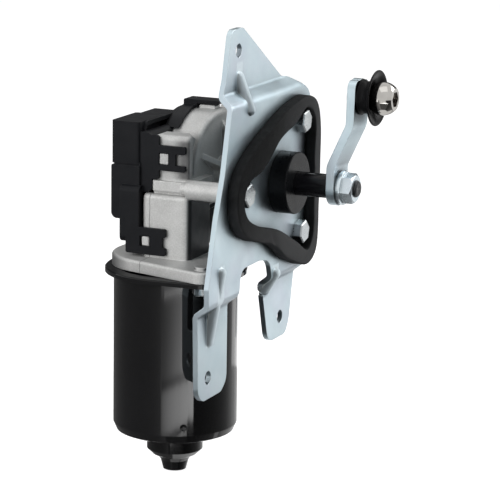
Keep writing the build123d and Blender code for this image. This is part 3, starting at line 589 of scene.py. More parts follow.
@dataclass(frozen=True)
class CastFinish(Finish):
    """Die casting with a sandy skin, darker pores and a parting line, and painted shade behind the
    bracket, on the flange and by the lug.

    Attributes:
        seam_x: where the die halves met.
        seam_drift: how far the line wanders.
        behind_facing: how far the skin faces X where painted shade darkens the case's front.
        behind_z: height over which the front gets darker.
        behind_shares: how dark it is over that height and under it.
        flange_z: height over which the flange starts.
        flange_x: place over which the flange's top gets dark.
        end_facing: how far the skin faces X where the flange's rear end gets dark.
        top_facing: how far it faces Z where the flange's top does.
        lug_facing: how far it faces Y where the lug's side does.
        lug_z: the lug's side is dark above the first span and below the second.
        lug_shares: how dark the painted shade on the lug's side is before lug_x and after it.
    """

    pores: Colour = (0.80, 0.80, 0.79)
    pore_share: float = 0.30
    seam_x: float = -46.8
    seam_width: float = 0.22
    seam_drift: float = 0.3
    seam_rise: float = 0.05
    seam_colour: Colour = (0.10, 0.10, 0.10)
    seam_share: float = 0.85
    # painted shade colour
    painted_shade_colour: Colour = (0.02, 0.02, 0.022)
    behind_facing: Span = (0.45, 0.85)
    behind_z: Span = (2.0, -5.0)
    behind_shares: Span = (0.20, 0.98)
    flange_z: Span = (-26.0, -29.0)
    flange_x: Span = (-30.0, -10.0)
    end_facing: Span = (-0.1, -0.8)
    end_share: float = 0.8
    top_facing: Span = (0.6, 0.9)
    top_share: float = 0.5
    lug_facing: Span = (-0.4, -0.8)
    lug_z: tuple[Span, Span] = ((4.0, 6.0), (26.0, 22.0))
    lug_x: Span = (-38.0, -31.0)
    lug_shares: Span = (0.15, 0.80)

    def tone(self, board: Board) -> Socket:
        """Grey with pores and a dark hair line where the die halves met, darkened by painted shade.

        Args:
            board: the material's board.

        Returns:
            The colour's socket.
        """
        specks = effects.use(board, Effect.SPECKS, Size=self.grain * 0.8, Depth=1.0)
        base = board.tint(board.times(specks.outputs["Tone"], self.pore_share),
                          super().tone(board), self.pores)
        line = board.times(self._line(board), self.seam_share)
        # painted shade mixed over the skin behind the bracket, on the flange and by the lug
        return board.tint(self._painted_shade(board), board.tint(line, base, self.seam_colour),
                          self.painted_shade_colour)

    def _painted_shade(self, board: Board) -> Socket:
        """Mask of painted shade: behind the bracket, on the flange and by the lug.

        Args:
            board: the material's board.

        Returns:
            1 where the painted shade is darkest, 0 where there is none.
        """
        nx, ny, nz = board.parts_of(board.put("TexCoord").outputs["Normal"])
        x, _, z = board.parts_of(board.place())
        deep = board.between(self.behind_shares, board.fade(z, self.behind_z))
        behind = board.times(board.ease(nx, *self.behind_facing), deep)
        low = board.fade(z, self.flange_z)
        end = board.times(board.ease(nx, *self.end_facing), board.times(low, self.end_share))
        top = board.times(board.ease(nz, *self.top_facing),
                          board.times(low, board.fade(x, self.flange_x)))
        above, below = self.lug_z
        lug = board.times(board.ease(ny, *self.lug_facing),
                          board.times(board.fade(z, above), board.fade(z, below)))
        lug = board.times(lug, board.between(self.lug_shares, board.fade(x, self.lug_x)))
        rest = board.plus(lug, board.plus(end, board.times(top, self.top_share)))
        return board.plus(behind, rest, clamp=True)

    def height(self, board: Board) -> Socket | None:
        """Sand grain, with the parting line raised."""
        line = board.times(self._line(board), self.seam_rise * MM)
        return board.plus(super().height(board), line)

    def _line(self, board: Board) -> Socket:
        """Mask of the parting line.

        Args:
            board: the material's board.

        Returns:
            1 on the line, 0 beside it.
        """
        x, _, _ = board.parts_of(board.place())
        wave = effects.first(board, Effect.CLOUDS, Size=5.0)
        across = board.plus(x, board.times(wave, self.seam_drift * MM))
        off = board.calc("ABSOLUTE", board.minus(across, self.seam_x * MM))
        return board.ease(board.over(off, board.times(self.seam_width, MM)), 1.0, 0.4)


@dataclass(frozen=True)
class FoamFinish(Finish):
    """Closed-cell foam: a skinned front and cut walls with open cells, with painted light and shade
    on them.

    Attributes:
        front_dark: the front's painted shade colour high on the left. Low on the right, where the
            front is painted lighter, it is the second colour.
        front_span: y less z, over which the front's colour changes.
        front_facing: how far the skin faces X where the walls turn into the front.
        wall_facing: how far it faces Z over which the walls' colour changes.
        wall_high: painted shade colour of the walls that face up.
        wall_low: colour of the walls that face down, painted lighter.
        cell_wall: how far from a cell's edge its wall reaches, as a share of a cell.
        swell: width of the slow waves under the cells.
    """

    front_dark: Colour = (0.010, 0.0105, 0.011)
    front_span: Span = (-66.0, 14.0)
    front_facing: Span = (0.5, 0.95)
    wall_facing: Span = (0.1, -0.6)
    wall_high: Colour = (0.012, 0.0125, 0.013)
    wall_low: Colour = (0.042, 0.043, 0.045)
    wall_patches: float = 0.12
    cell_wall: float = 0.25
    swell: float = 6.0
    swell_depth: float = 0.10

    def tone(self, board: Board) -> Socket:
        """Painted light and shade: lighter on the front face than on the walls, most of all low and
        to the right, and darker on the walls that face up.

        Args:
            board: the material's board.

        Returns:
            The colour's socket.
        """
        face, _, up = board.parts_of(board.put("TexCoord").outputs["Normal"])
        _, y, z = board.parts_of(board.place())
        # painted light: the front lightens from high on the left to low on the right
        front_light_share = board.fade(board.minus(y, z), self.front_span)
        front = board.tint(front_light_share, self.front_dark, self.second)
        # painted shade: walls facing up are darker than walls facing down
        wall = board.tint(board.ease(up, *self.wall_facing), self.wall_high, self.wall_low)
        wall = board.tint(self.wall_patches, wall, super().tone(board))
        # painted light: the front is lighter than the walls
        return board.tint(board.ease(face, *self.front_facing), wall, front)

    def height(self, board: Board) -> Socket | None:
        """Cells of about the grain's size, with a slow swell under them.

        Args:
            board: the material's board.

        Returns:
            The height's socket.
        """
        cells = board.put("TexVoronoi", {"Vector": board.place(), "Scale": 1000.0 / self.grain},
                          feature="DISTANCE_TO_EDGE")
        pits = board.times(board.ease(cells.outputs["Distance"], 0.0, self.cell_wall),
                           self.grain_depth * MM)
        waves = effects.first(board, Effect.CLOUDS, Size=self.swell)
        return board.plus(pits, board.times(waves, self.swell_depth * MM))


@dataclass(frozen=True)
class ThreadFinish(Finish):
    """Dark steel with a screw thread on its far end."""

    pitch: float = 1.25
    thread_from: float = 31.2
    thread_start: float = 0.3
    thread_depth: float = 1.2

    def height(self, board: Board) -> Socket | None:
        """Thread ridges beyond the crank seat.

        Args:
            board: the material's board.

        Returns:
            The height's socket.
        """
        x, y, z = board.parts_of(board.place())
        turn = board.over(board.calc("ARCTAN2", z, y), 2 * math.pi)
        steps = board.minus(board.over(x, self.pitch * MM), turn)
        ridge = board.calc("PINGPONG", steps, 0.5)
        on = board.fade(x, (self.thread_from, self.thread_from + self.thread_start))
        return board.times(board.times(ridge, on), self.thread_depth * MM)


@dataclass(frozen=True)
class PaintFinish(Finish):
    """Gloss paint that is thin and dull on the drawn rim."""

    rim_z: float = -39.0
    rim_fade: float = 0.5
    rim_coat: float = 0.05

    def coating(self, board: Board) -> object:
        """Thin on the rim, full below it.

        Args:
            board: the material's board.

        Returns:
            The weight's socket.
        """
        _, _, z = board.parts_of(board.place())
        below = board.fade(z, (self.rim_z + self.rim_fade, self.rim_z - self.rim_fade))
        return board.between((self.rim_coat, 1.0), below)


@dataclass(frozen=True)
class WoundFinish(Finish):
    """Copper wire laid side by side."""

    wire: float = 0.55
    rise: float = 0.6

    def height(self, board: Board) -> Socket | None:
        """Round wires running up the core.

        Args:
            board: the material's board.

        Returns:
            The height's socket.
        """
        x, y, _ = board.parts_of(board.place())
        across = board.over(board.plus(x, y), self.wire * MM)
        return board.times(board.calc("PINGPONG", across, 0.5), self.wire * MM * self.rise)


class Finishes:
    """The finishes of this motor."""

    ZINC = ZincFinish(
        "zinc_plate", (0.535, 0.65, 0.705), (0.60, 0.705, 0.75), patch=18.0, metallic=1.0,
        roughness=0.36, rough_spread=0.10, grain=0.35, grain_depth=0.006, edge=0.35,
        edge_colour=(0.70, 0.76, 0.75), edge_gain=2.5, lilac=(0.54, 0.56, 0.65), contact=1.4)
    BOLT = ZincFinish(
        "bolt_zinc", (0.44, 0.47, 0.475), (0.54, 0.57, 0.575), patch=3.0, metallic=1.0,
        roughness=0.30, rough_spread=0.14, grain=0.3, grain_depth=0.008, edge=0.35,
        edge_colour=(0.72, 0.75, 0.75), lilac=(0.44, 0.46, 0.50))
    NUT = ZincFinish(
        "nut_zinc", (0.62, 0.71, 0.74), (0.70, 0.78, 0.81), patch=4.0, metallic=1.0, roughness=0.30,
        rough_spread=0.12, grain=0.3, grain_depth=0.006, edge=0.35, edge_colour=(0.85, 0.90, 0.91),
        lilac=(0.62, 0.66, 0.74))
    CAST = CastFinish(
        "cast_aluminium", (0.46, 0.46, 0.45), (0.53, 0.53, 0.52), patch=9.0, metallic=0.30,
        roughness=0.46, rough_spread=0.10, grain_depth=0.035, edge=0.6,
        edge_colour=(0.80, 0.80, 0.79), edge_gain=2.5)
    # painted highlight: lighter edge colour along the black plastic's edges
    COVER = Finish(
        "black_plastic", (0.0065, 0.007, 0.0085), (0.009, 0.0095, 0.011), patch=10.0,
        roughness=0.46, rough_spread=0.12, grain=0.22, grain_depth=0.012, edge=0.35,
        edge_colour=(0.020, 0.021, 0.023), edge_gain=4.0, specular=0.14)
    CAP = Finish(
        "cap_plastic", (0.008, 0.0085, 0.010), (0.011, 0.012, 0.013), patch=6.0, roughness=0.30,
        rough_spread=0.10, grain=0.3, grain_depth=0.002, edge=0.2, specular=0.10)
    SLEEVE = Finish(
        "sleeve_plastic", (0.006, 0.006, 0.007), (0.008, 0.008, 0.010), patch=6.0, roughness=0.16,
        rough_spread=0.05, grain=0.4, grain_depth=0.003, edge=0.2, specular=0.22)
    CAN = PaintFinish(
        "can_paint", (0.0045, 0.0045, 0.005), (0.006, 0.006, 0.0065), patch=25.0, roughness=0.30,
        rough_spread=0.03, grain=2.2, grain_depth=0.003, edge=0.4, specular=0.02)
    FOAM = FoamFinish(
        "foam", (0.007, 0.0075, 0.008), (0.075, 0.076, 0.078), patch=5.0, roughness=0.85,
        rough_spread=0.08, grain=0.35, grain_depth=0.03, edge=0.2, specular=0.12)
    SEAL = Finish(
        "seal_rubber", (0.010, 0.010, 0.010), (0.014, 0.014, 0.014), roughness=0.6, grain=0.3,
        grain_depth=0.01)
    BOOT = Finish(
        "boot_rubber", (0.006, 0.006, 0.0065), (0.009, 0.009, 0.0095), patch=5.0, roughness=0.30,
        rough_spread=0.08, grain=0.5, grain_depth=0.004, edge=0.2, specular=0.06)
    BALL = Finish(
        "ball_chrome", (0.43, 0.415, 0.39), (0.48, 0.465, 0.44), patch=4.0, metallic=1.0,
        roughness=0.09, rough_spread=0.05, grain=0.6, grain_depth=0.0015, edge=0.2)
    DARK_STEEL = ThreadFinish(
        "dark_steel", (0.045, 0.047, 0.05), (0.08, 0.082, 0.085), patch=2.0, metallic=1.0,
        roughness=0.38, rough_spread=0.12, edge=0.2)
    STEEL = Finish(
        "shaft_steel", (0.48, 0.48, 0.49), (0.56, 0.56, 0.57), patch=4.0, metallic=1.0,
        roughness=0.26, rough_spread=0.1, grain=0.3, grain_depth=0.004, edge=0.2)
    ACETAL = Finish(
        "wheel_plastic", (0.74, 0.72, 0.64), (0.80, 0.78, 0.71), patch=8.0, roughness=0.42,
        grain=0.6, grain_depth=0.006, edge=0.25)
    BRASS = Finish(
        "contact_brass", (0.62, 0.43, 0.17), (0.70, 0.52, 0.24), patch=3.0, metallic=1.0,
        roughness=0.32, grain=0.3, grain_depth=0.004, edge=0.15)
    TIN = Finish(
        "tinned_copper", (0.66, 0.64, 0.58), (0.74, 0.72, 0.67), patch=2.0, metallic=1.0,
        roughness=0.28, grain=0.3, grain_depth=0.004, edge=0.15)
    BRONZE = Finish(
        "sintered_bronze", (0.40, 0.27, 0.14), (0.50, 0.36, 0.20), patch=2.0, metallic=1.0,
        roughness=0.52, grain=0.25, grain_depth=0.03, edge=0.2)
    FERRITE = Finish(
        "ferrite", (0.045, 0.045, 0.048), (0.07, 0.07, 0.072), patch=3.0, roughness=0.62, grain=0.3,
        grain_depth=0.02)
    CORE = Finish(
        "core_steel", (0.26, 0.27, 0.29), (0.34, 0.35, 0.37), patch=3.0, metallic=1.0,
        roughness=0.45, grain=0.5, grain_depth=0.02)
    COPPER = WoundFinish(
        "copper_wire", (0.52, 0.20, 0.07), (0.64, 0.28, 0.11), patch=1.5, metallic=1.0,
        roughness=0.34)
    CARBON = Finish(
        "carbon", (0.035, 0.032, 0.030), (0.06, 0.05, 0.045), patch=1.0, roughness=0.7, grain=0.2,
        grain_depth=0.02)


def add_object(name: str, data: bpy.types.ID) -> bpy.types.Object:
    """Makes an object and links it into the scene.

    Args:
        name: the object's name.
        data: its mesh, camera or light.

    Returns:
        The new object.
    """
    thing = bpy.data.objects.new(name, data)
    bpy.context.scene.collection.objects.link(thing)
    return thing


def add_piece(name: str, corners: Sequence[Sequence[float]], faces: Sequence[Sequence[int]],
              body: Body, finish: Finish, smooth: bool = True) -> bpy.types.Object:
    """Makes a mesh piece that rides on a body.

    Args:
        name: the piece's name.
        corners: points in metres.
        faces: rows of point numbers.
        body: the body it moves with.
        finish: its finish, which also names its slot.
        smooth: shades it smooth.

    Returns:
        The new object.
    """
    mesh = bpy.data.meshes.new(name)
    mesh.from_pydata([tuple(c) for c in corners], [], [tuple(f) for f in faces])
    mesh.update()
    mesh.polygons.foreach_set("use_smooth", [smooth] * len(mesh.polygons))
    mesh.materials.append(finish.material())
    piece = add_object(name, mesh)
    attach(piece, body.value)
    log.info("built %s on %s", name, body.value)
    return piece


def round_loop(knots: Sequence[tuple[float, float]], count: int) -> np.ndarray:
    """Points along the closed smooth curve through some knots.

    Args:
        knots: the points that the curve passes.
        count: how many points to give.

    Returns:
        An array of count rows of two numbers.
    """
    p = np.array(knots, float)
    n = len(p)
    step = np.linalg.norm(np.roll(p, -1, 0) - p, axis=1)
    before = np.roll(step, 1)
    rows = np.zeros((n, n))
    for i in range(n):
        rows[i, (i - 1) % n] = step[i]
        rows[i, i] = 2 * (step[i] + before[i])
        rows[i, (i + 1) % n] = before[i]
    chord = (np.roll(p, -1, 0) - p) / step[:, None]
    sides = 3 * (step[:, None] * np.roll(chord, 1, 0) + before[:, None] * chord)
    slope = np.linalg.solve(rows, sides)
    ends = np.concatenate([[0], np.cumsum(step)])
    t = np.linspace(0, ends[-1], count, endpoint=False)
    k = np.clip(np.searchsorted(ends, t, side="right") - 1, 0, n - 1)
    h = step[k][:, None]
    u = ((t - ends[k]) / step[k])[:, None]
    q = p[(k + 1) % n]
    return ((2 * u**3 - 3 * u**2 + 1) * p[k] + (u**3 - 2 * u**2 + u) * h * slope[k]
            + (3 * u**2 - 2 * u**3) * q + (u**3 - u**2) * h * slope[(k + 1) % n])


def evened(rows: np.ndarray, passes: int) -> np.ndarray:
    """Averages the rows of a closed line with their neighbours, a number of times.

    Args:
        rows: the line's points or directions.
        passes: how often to average.

    Returns:
        The evened rows.
    """
    for _ in range(passes):
        rows = (np.roll(rows, 1, 0) + 2 * rows + np.roll(rows, -1, 0)) / 4
    return rows


def nearest(line: np.ndarray, spots: np.ndarray) -> np.ndarray:
    """For each spot, the point of a line that is nearest to it."""
    return np.array([line[np.argmin(np.linalg.norm(line - spot, axis=1))] for spot in spots])


def ring_faces(rings: int, size: int, flip: bool = False) -> list[list[int]]:
    """Faces between the closed sections of a closed ring.

    Args:
        rings: how many sections there are.
        size: how many points a section has.
        flip: turns the faces the other way round.

    Returns:
        Rows of point numbers.
    """
    faces = []
    for i in range(rings):
        here, there = i * size, (i + 1) % rings * size
        for k in range(size):
            m = (k + 1) % size
            face = [here + k, there + k, there + m, here + m]
            faces.append([face[0], *reversed(face[1:])] if flip else face)
    return faces


def lathe(profile: Sequence[tuple[float, float]], axis: Vector,
          steps: int) -> tuple[list[Vector], list[list[int]]]:
    """Turns a closed profile about a line along X.

    Args:
        profile: (x, radius) rows in metres, going round the section.
        axis: a point on the line.
        steps: how many facets round.

    Returns:
        Points and faces.
    """
    points = []
    for i in range(steps):
        a = 2 * math.pi * i / steps
        points += [Vector((x, axis.y + r * math.cos(a), axis.z + r * math.sin(a)))
                   for x, r in profile]
    return points, ring_faces(steps, len(profile), flip=True)


@dataclass
class SubAssembly:
    """Pieces that are built and dressed together.

    Attributes:
        looks: rows of a finish and the CAD nodes that it is for.
    """

    looks: ClassVar[tuple[tuple[Finish, tuple[str, ...]], ...]] = ()

    def build(self) -> None:
        """Adds no mesh of its own, so the CAD solids show."""

    def dress(self) -> None:
        """Gives the CAD nodes their finishes."""
        for finish, nodes in self.looks:
            for name in nodes:
                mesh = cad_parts[name].data
                mesh.materials.clear()
                mesh.materials.append(finish.material())
                log.info("dressed %s in %s", name, finish.name)


@dataclass
class Bracket(SubAssembly):
    """Zinc plated bracket, its bolts and the foam gasket. Lengths in millimetres.

    Attributes:
        foam_front: height of the foam over the plate.
        foam_outside: knots of the ring's outer line, as y and z.
        wall_waves: width and depth of the waves in the walls, and of the ripples on them.
        front_wave: width and depth of the waves in the front.
        ripple_shift: where in the noise the ripples are taken from.
        front_shift: where in it the front's waves are.
        fold_at: where the front is folded, as y and z.
        fold_way: direction across the fold.
        fold_area: square of the fold's half length.
    """

    looks = ((Finishes.ZINC, ("mounting_plate",)), (Finishes.BOLT, ("plate_bolts",)),
             (Finishes.FOAM, ("foam_gasket",)))
    foam_front: float = 5.6
    foam_lift: float = 0.02
    foam_round: float = 0.8
    foam_segments: int = 360
    foam_outside: Spots = (
        (37.4, 0.0), (37.0, 20.0), (31.5, 35.6), (22.0, 39.4), (8.0, 38.4), (-5.0, 35.8),
        (-18.5, 31.4), (-32.0, 26.6), (-46.5, 20.2), (-56.5, 13.2), (-61.4, 3.0), (-57.0, -12.0),
        (-44.0, -20.4), (-27.0, -24.7), (-14.0, -29.4), (-2.3, -36.9), (10.2, -41.4), (24.5, -45.0),
        (33.0, -40.5), (36.6, -27.0),
    )
    foam_inside: Spots = (
        (30.0, 0.0), (29.8, 16.0), (28.0, 29.6), (19.0, 33.6), (8.5, 28.8), (-8.1, 24.2),
        (-20.0, 18.0), (-35.4, 10.4), (-48.0, 7.4), (-53.4, 1.5), (-51.0, -6.4), (-42.0, -12.8),
        (-30.0, -16.4), (-12.0, -21.4), (2.0, -27.4), (15.0, -34.2), (24.0, -37.4), (29.0, -32.5),
        (30.4, -18.0),
    )
    line_passes: int = 6
    way_passes: int = 40
    wall_waves: tuple[Span, Span] = ((12.0, 0.35), (6.0, 0.08))
    front_wave: Span = (14.0, 0.25)
    ripple_shift: tuple[float, float, float] = (7.0, 3.0, 5.0)
    front_shift: tuple[float, float, float] = (1.0, 9.0, 4.0)
    front_sag: float = 0.15
    fold_at: tuple[float, float] = (-17.0, -26.5)
    fold_way: tuple[float, float] = (0.8, 0.6)
    fold_depth: float = 0.9
    fold_width: float = 1.6
    fold_area: float = 60.0

    def build(self) -> None:
        """Builds the foam ring that stands for its CAD solid."""
        outer, inner, ways = self._lines()
        rows = [self._section(*spot) for spot in zip(outer, inner, ways)]
        points = [point for row in rows for point in row]
        faces = ring_faces(len(rows), len(rows[0]))
        foam = add_piece("foam_ring", points, faces, Body.BASE, Finishes.FOAM)
        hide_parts("foam_gasket")

    def _lines(self) -> tuple[np.ndarray, np.ndarray, np.ndarray]:
        """The two lines that the ring runs between.

        Returns:
            Points of the outer line, the inner line's points across from them, and the
            directions from the first to the second.
        """
        outer = round_loop(self.foam_outside, self.foam_segments)
        inner = round_loop(self.foam_inside, self.foam_segments * 4)
        inner = nearest(inner, evened(nearest(inner, outer), self.line_passes))
        ways = (inner - outer) / np.linalg.norm(inner - outer, axis=1)[:, None]
        ways = evened(ways, self.way_passes)
        return outer, inner, ways / np.linalg.norm(ways, axis=1)[:, None]

    def _section(self, outer: np.ndarray, inner: np.ndarray, way: np.ndarray) -> list[Vector]:
        """One section across the ring, from the plate up, over the front and down again.

        Args:
            outer: the outer line's point.
            inner: the inner line's point.
            way: the direction across the ring.

        Returns:
            Its points in metres.
        """
        r, t = self.foam_round, self.foam_front
        wall = [(self.foam_lift, 0.0), (t * 0.25, 0.0), (t * 0.5, 0.0), (t * 0.75, 0.0),
                (t - r, 0.0), (t - r * 0.3, r * 0.3), (t, r)]
        row = [(x, outer + way * d) for x, d in wall]
        row += [(t, outer + way * r + (inner - outer - 2 * r * way) * s) for s in (0.25, 0.5, 0.75)]
        row += [(x, inner - way * d) for x, d in reversed(wall)]
        return [self._dented(x, float(y), float(z), way) for x, (y, z) in row]

    def _dented(self, x: float, y: float, z: float, way: np.ndarray) -> Vector:
        """A point of the ring in metres, moved a little as soft foam is.

        Args:
            x: height over the plate.
            y: place across the plate.
            z: place up the plate.
            way: the direction across the ring.

        Returns:
            The moved point.
        """
        lift = min(x / self.foam_front, 1.0)
        spot = Vector((x, y, z))
        (wave, wave_depth), (ripple, ripple_depth) = self.wall_waves
        push = noise.noise(spot / wave) * wave_depth
        push += noise.noise(spot / ripple + Vector(self.ripple_shift)) * ripple_depth
        wave, wave_depth = self.front_wave
        sink = noise.noise(spot / wave + Vector(self.front_shift)) * wave_depth - self.front_sag
        off_y, off_z = y - self.fold_at[0], z - self.fold_at[1]
        fold = off_y * self.fold_way[0] + off_z * self.fold_way[1]
        sink -= (self.fold_depth * math.exp(-(fold / self.fold_width) ** 2)
                 * math.exp(-(off_y ** 2 + off_z ** 2) / self.fold_area))
        y += way[0] * push * lift
        z += way[1] * push * lift
        return Vector((x + sink * lift * lift, y, z)) * MM


@dataclass
class Gearbox(SubAssembly):
    """Die cast gear case, its plastic cover and what is inside them."""

    looks = (
        (Finishes.CAST, ("gear_housing",)),
        (Finishes.COVER, ("gear_cover", "brush_holder")),
        (Finishes.SEAL, ("cover_seal", "shaft_seal")),
        (Finishes.TIN, ("connector_pins",)),
        (Finishes.BRASS, ("park_contacts", "contact_disc")),
        (Finishes.ACETAL, ("worm_wheel", "thrust_pad")),
        (Finishes.BRONZE, ("rear_bush", "front_bush", "top_bush", "lower_bush")),
        (Finishes.STEEL, ("wheel_washer", "neck_shim", "shaft_clip", "worm_bearing")),
    )


@dataclass
class Motor(SubAssembly):
    """Painted can with its screws, magnets, brushes and armature."""

    looks = (
        (Finishes.CAN, ("motor_can",)),
        (Finishes.BOLT, ("yoke_screws",)),
        (Finishes.FERRITE, ("magnets",)),
        (Finishes.CORE, ("armature_core",)),
        (Finishes.COPPER, ("armature_winding", "commutator", "chokes")),
        (Finishes.STEEL, ("armature_shaft", "brush_springs")),
        (Finishes.CARBON, ("brushes",)),
        (Finishes.BALL, ("thrust_ball",)),
    )


@dataclass
class CrankDrive(SubAssembly):
    """Spacer, sleeve, crank arm, nut, ball stud and its rubber boot. Lengths in millimetres.

    Attributes:
        crank_length: from the shaft's axis to the ball's.
        lean: how far the crank leans over at rest, in degrees.
        boot_back: where the boot starts, in front of the arm.
        boot_neck: radius of the boot's neck.
    """

    looks = (
        (Finishes.CAP, ("seal_cap",)),
        (Finishes.SLEEVE, ("shaft_sleeve",)),
        (Finishes.ZINC, ("crank_arm",)),
        (Finishes.NUT, ("crank_nut", "crank_washer")),
        (Finishes.BALL, ("ball_stud",)),
        (Finishes.BOOT, ("ball_boot",)),
        (Finishes.DARK_STEEL, ("output_shaft",)),
    )
    crank_length: float = 44.0
    lean: float = 3.5
    boot_back: float = 39.85
    boot_neck: float = 7.6
    boot_lip: float = 13.4
    boot_lip_x: float = 47.0
    boot_facets: int = 72
    stud_r: float = 4.05

    def build(self) -> None:
        """Builds the boot that stands for its CAD solid."""
        a = math.radians(self.lean)
        axis = Vector((0, math.sin(a), math.cos(a))) * self.crank_length * MM
        b, neck, lip, x = self.boot_back, self.boot_neck, self.boot_lip, self.boot_lip_x
        stud = self.stud_r
        shape = [
            (b, stud), (b, neck + 0.5), (b + 0.25, neck + 0.95), (b + 0.9, neck + 0.9),
            (b + 1.5, neck + 0.35), (b + 2.4, neck), (b + 3.6, neck + 0.15), (b + 4.8, neck + 0.8),
            (b + 5.9, neck + 1.9), (b + 6.7, neck + 3.2), (x + 0.05, lip - 1.2),
            (x + 0.3, lip - 0.25), (x + 0.65, lip), (x + 1.05, lip - 0.15), (x + 1.2, lip - 0.6),
            (x + 1.05, lip - 1.5), (x + 0.6, lip - 3.0), (x - 0.3, lip - 4.8),
            (x - 1.6, neck - 0.9), (x - 3.2, neck - 2.3),
            (b + 2.2, stud + 0.2), (b + 1.2, stud),
        ]
        points, faces = lathe([(px * MM, r * MM) for px, r in shape], axis, self.boot_facets)
        boot = add_piece("rubber_boot", points, faces, Body.OUTPUT, Finishes.BOOT)
        smooth = boot.modifiers.new("smooth", "SUBSURF")
        smooth.levels = smooth.render_levels = 1
        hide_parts("ball_boot")


@dataclass(frozen=True)
class Card:
    """A curved studio card that only reflections see, in metres.

    Attributes:
        start: its first edge, in degrees round from the camera.
        end: its last edge.
        low: its lower edge over the origin.
        high: its upper edge.
        glow_start: brightness at the first edge.
        glow_end: brightness at the last edge.
        radius: distance from the upright axis.
        bend: how late the brightness changes from start to end.
        foot: how many times brighter the lower edge is than the upper.
    """

    name: str
    start: float
    end: float
    low: float
    high: float
    glow_start: float
    glow_end: float
    radius: float = 0.9
    bend: float = 1.6
    foot: float = 1.0


@dataclass(frozen=True)
class Lamp:
    """A soft square lamp aimed at the motor, in metres and watts.

    Attributes:
        around: its direction in degrees round from the camera.
        up: its direction in degrees over the horizon.
        glossy: whether reflections see it.
    """

    name: str
    around: float
    up: float
    distance: float
    size: float
    power: float
    glossy: bool = True


def direction(around: float, up: float) -> Vector:
    """The direction of a place, from its degrees round from -Y and over the horizon."""
    a, e = math.radians(around), math.radians(up)
    return Vector((math.sin(a) * math.cos(e), -math.cos(a) * math.cos(e), math.sin(e)))


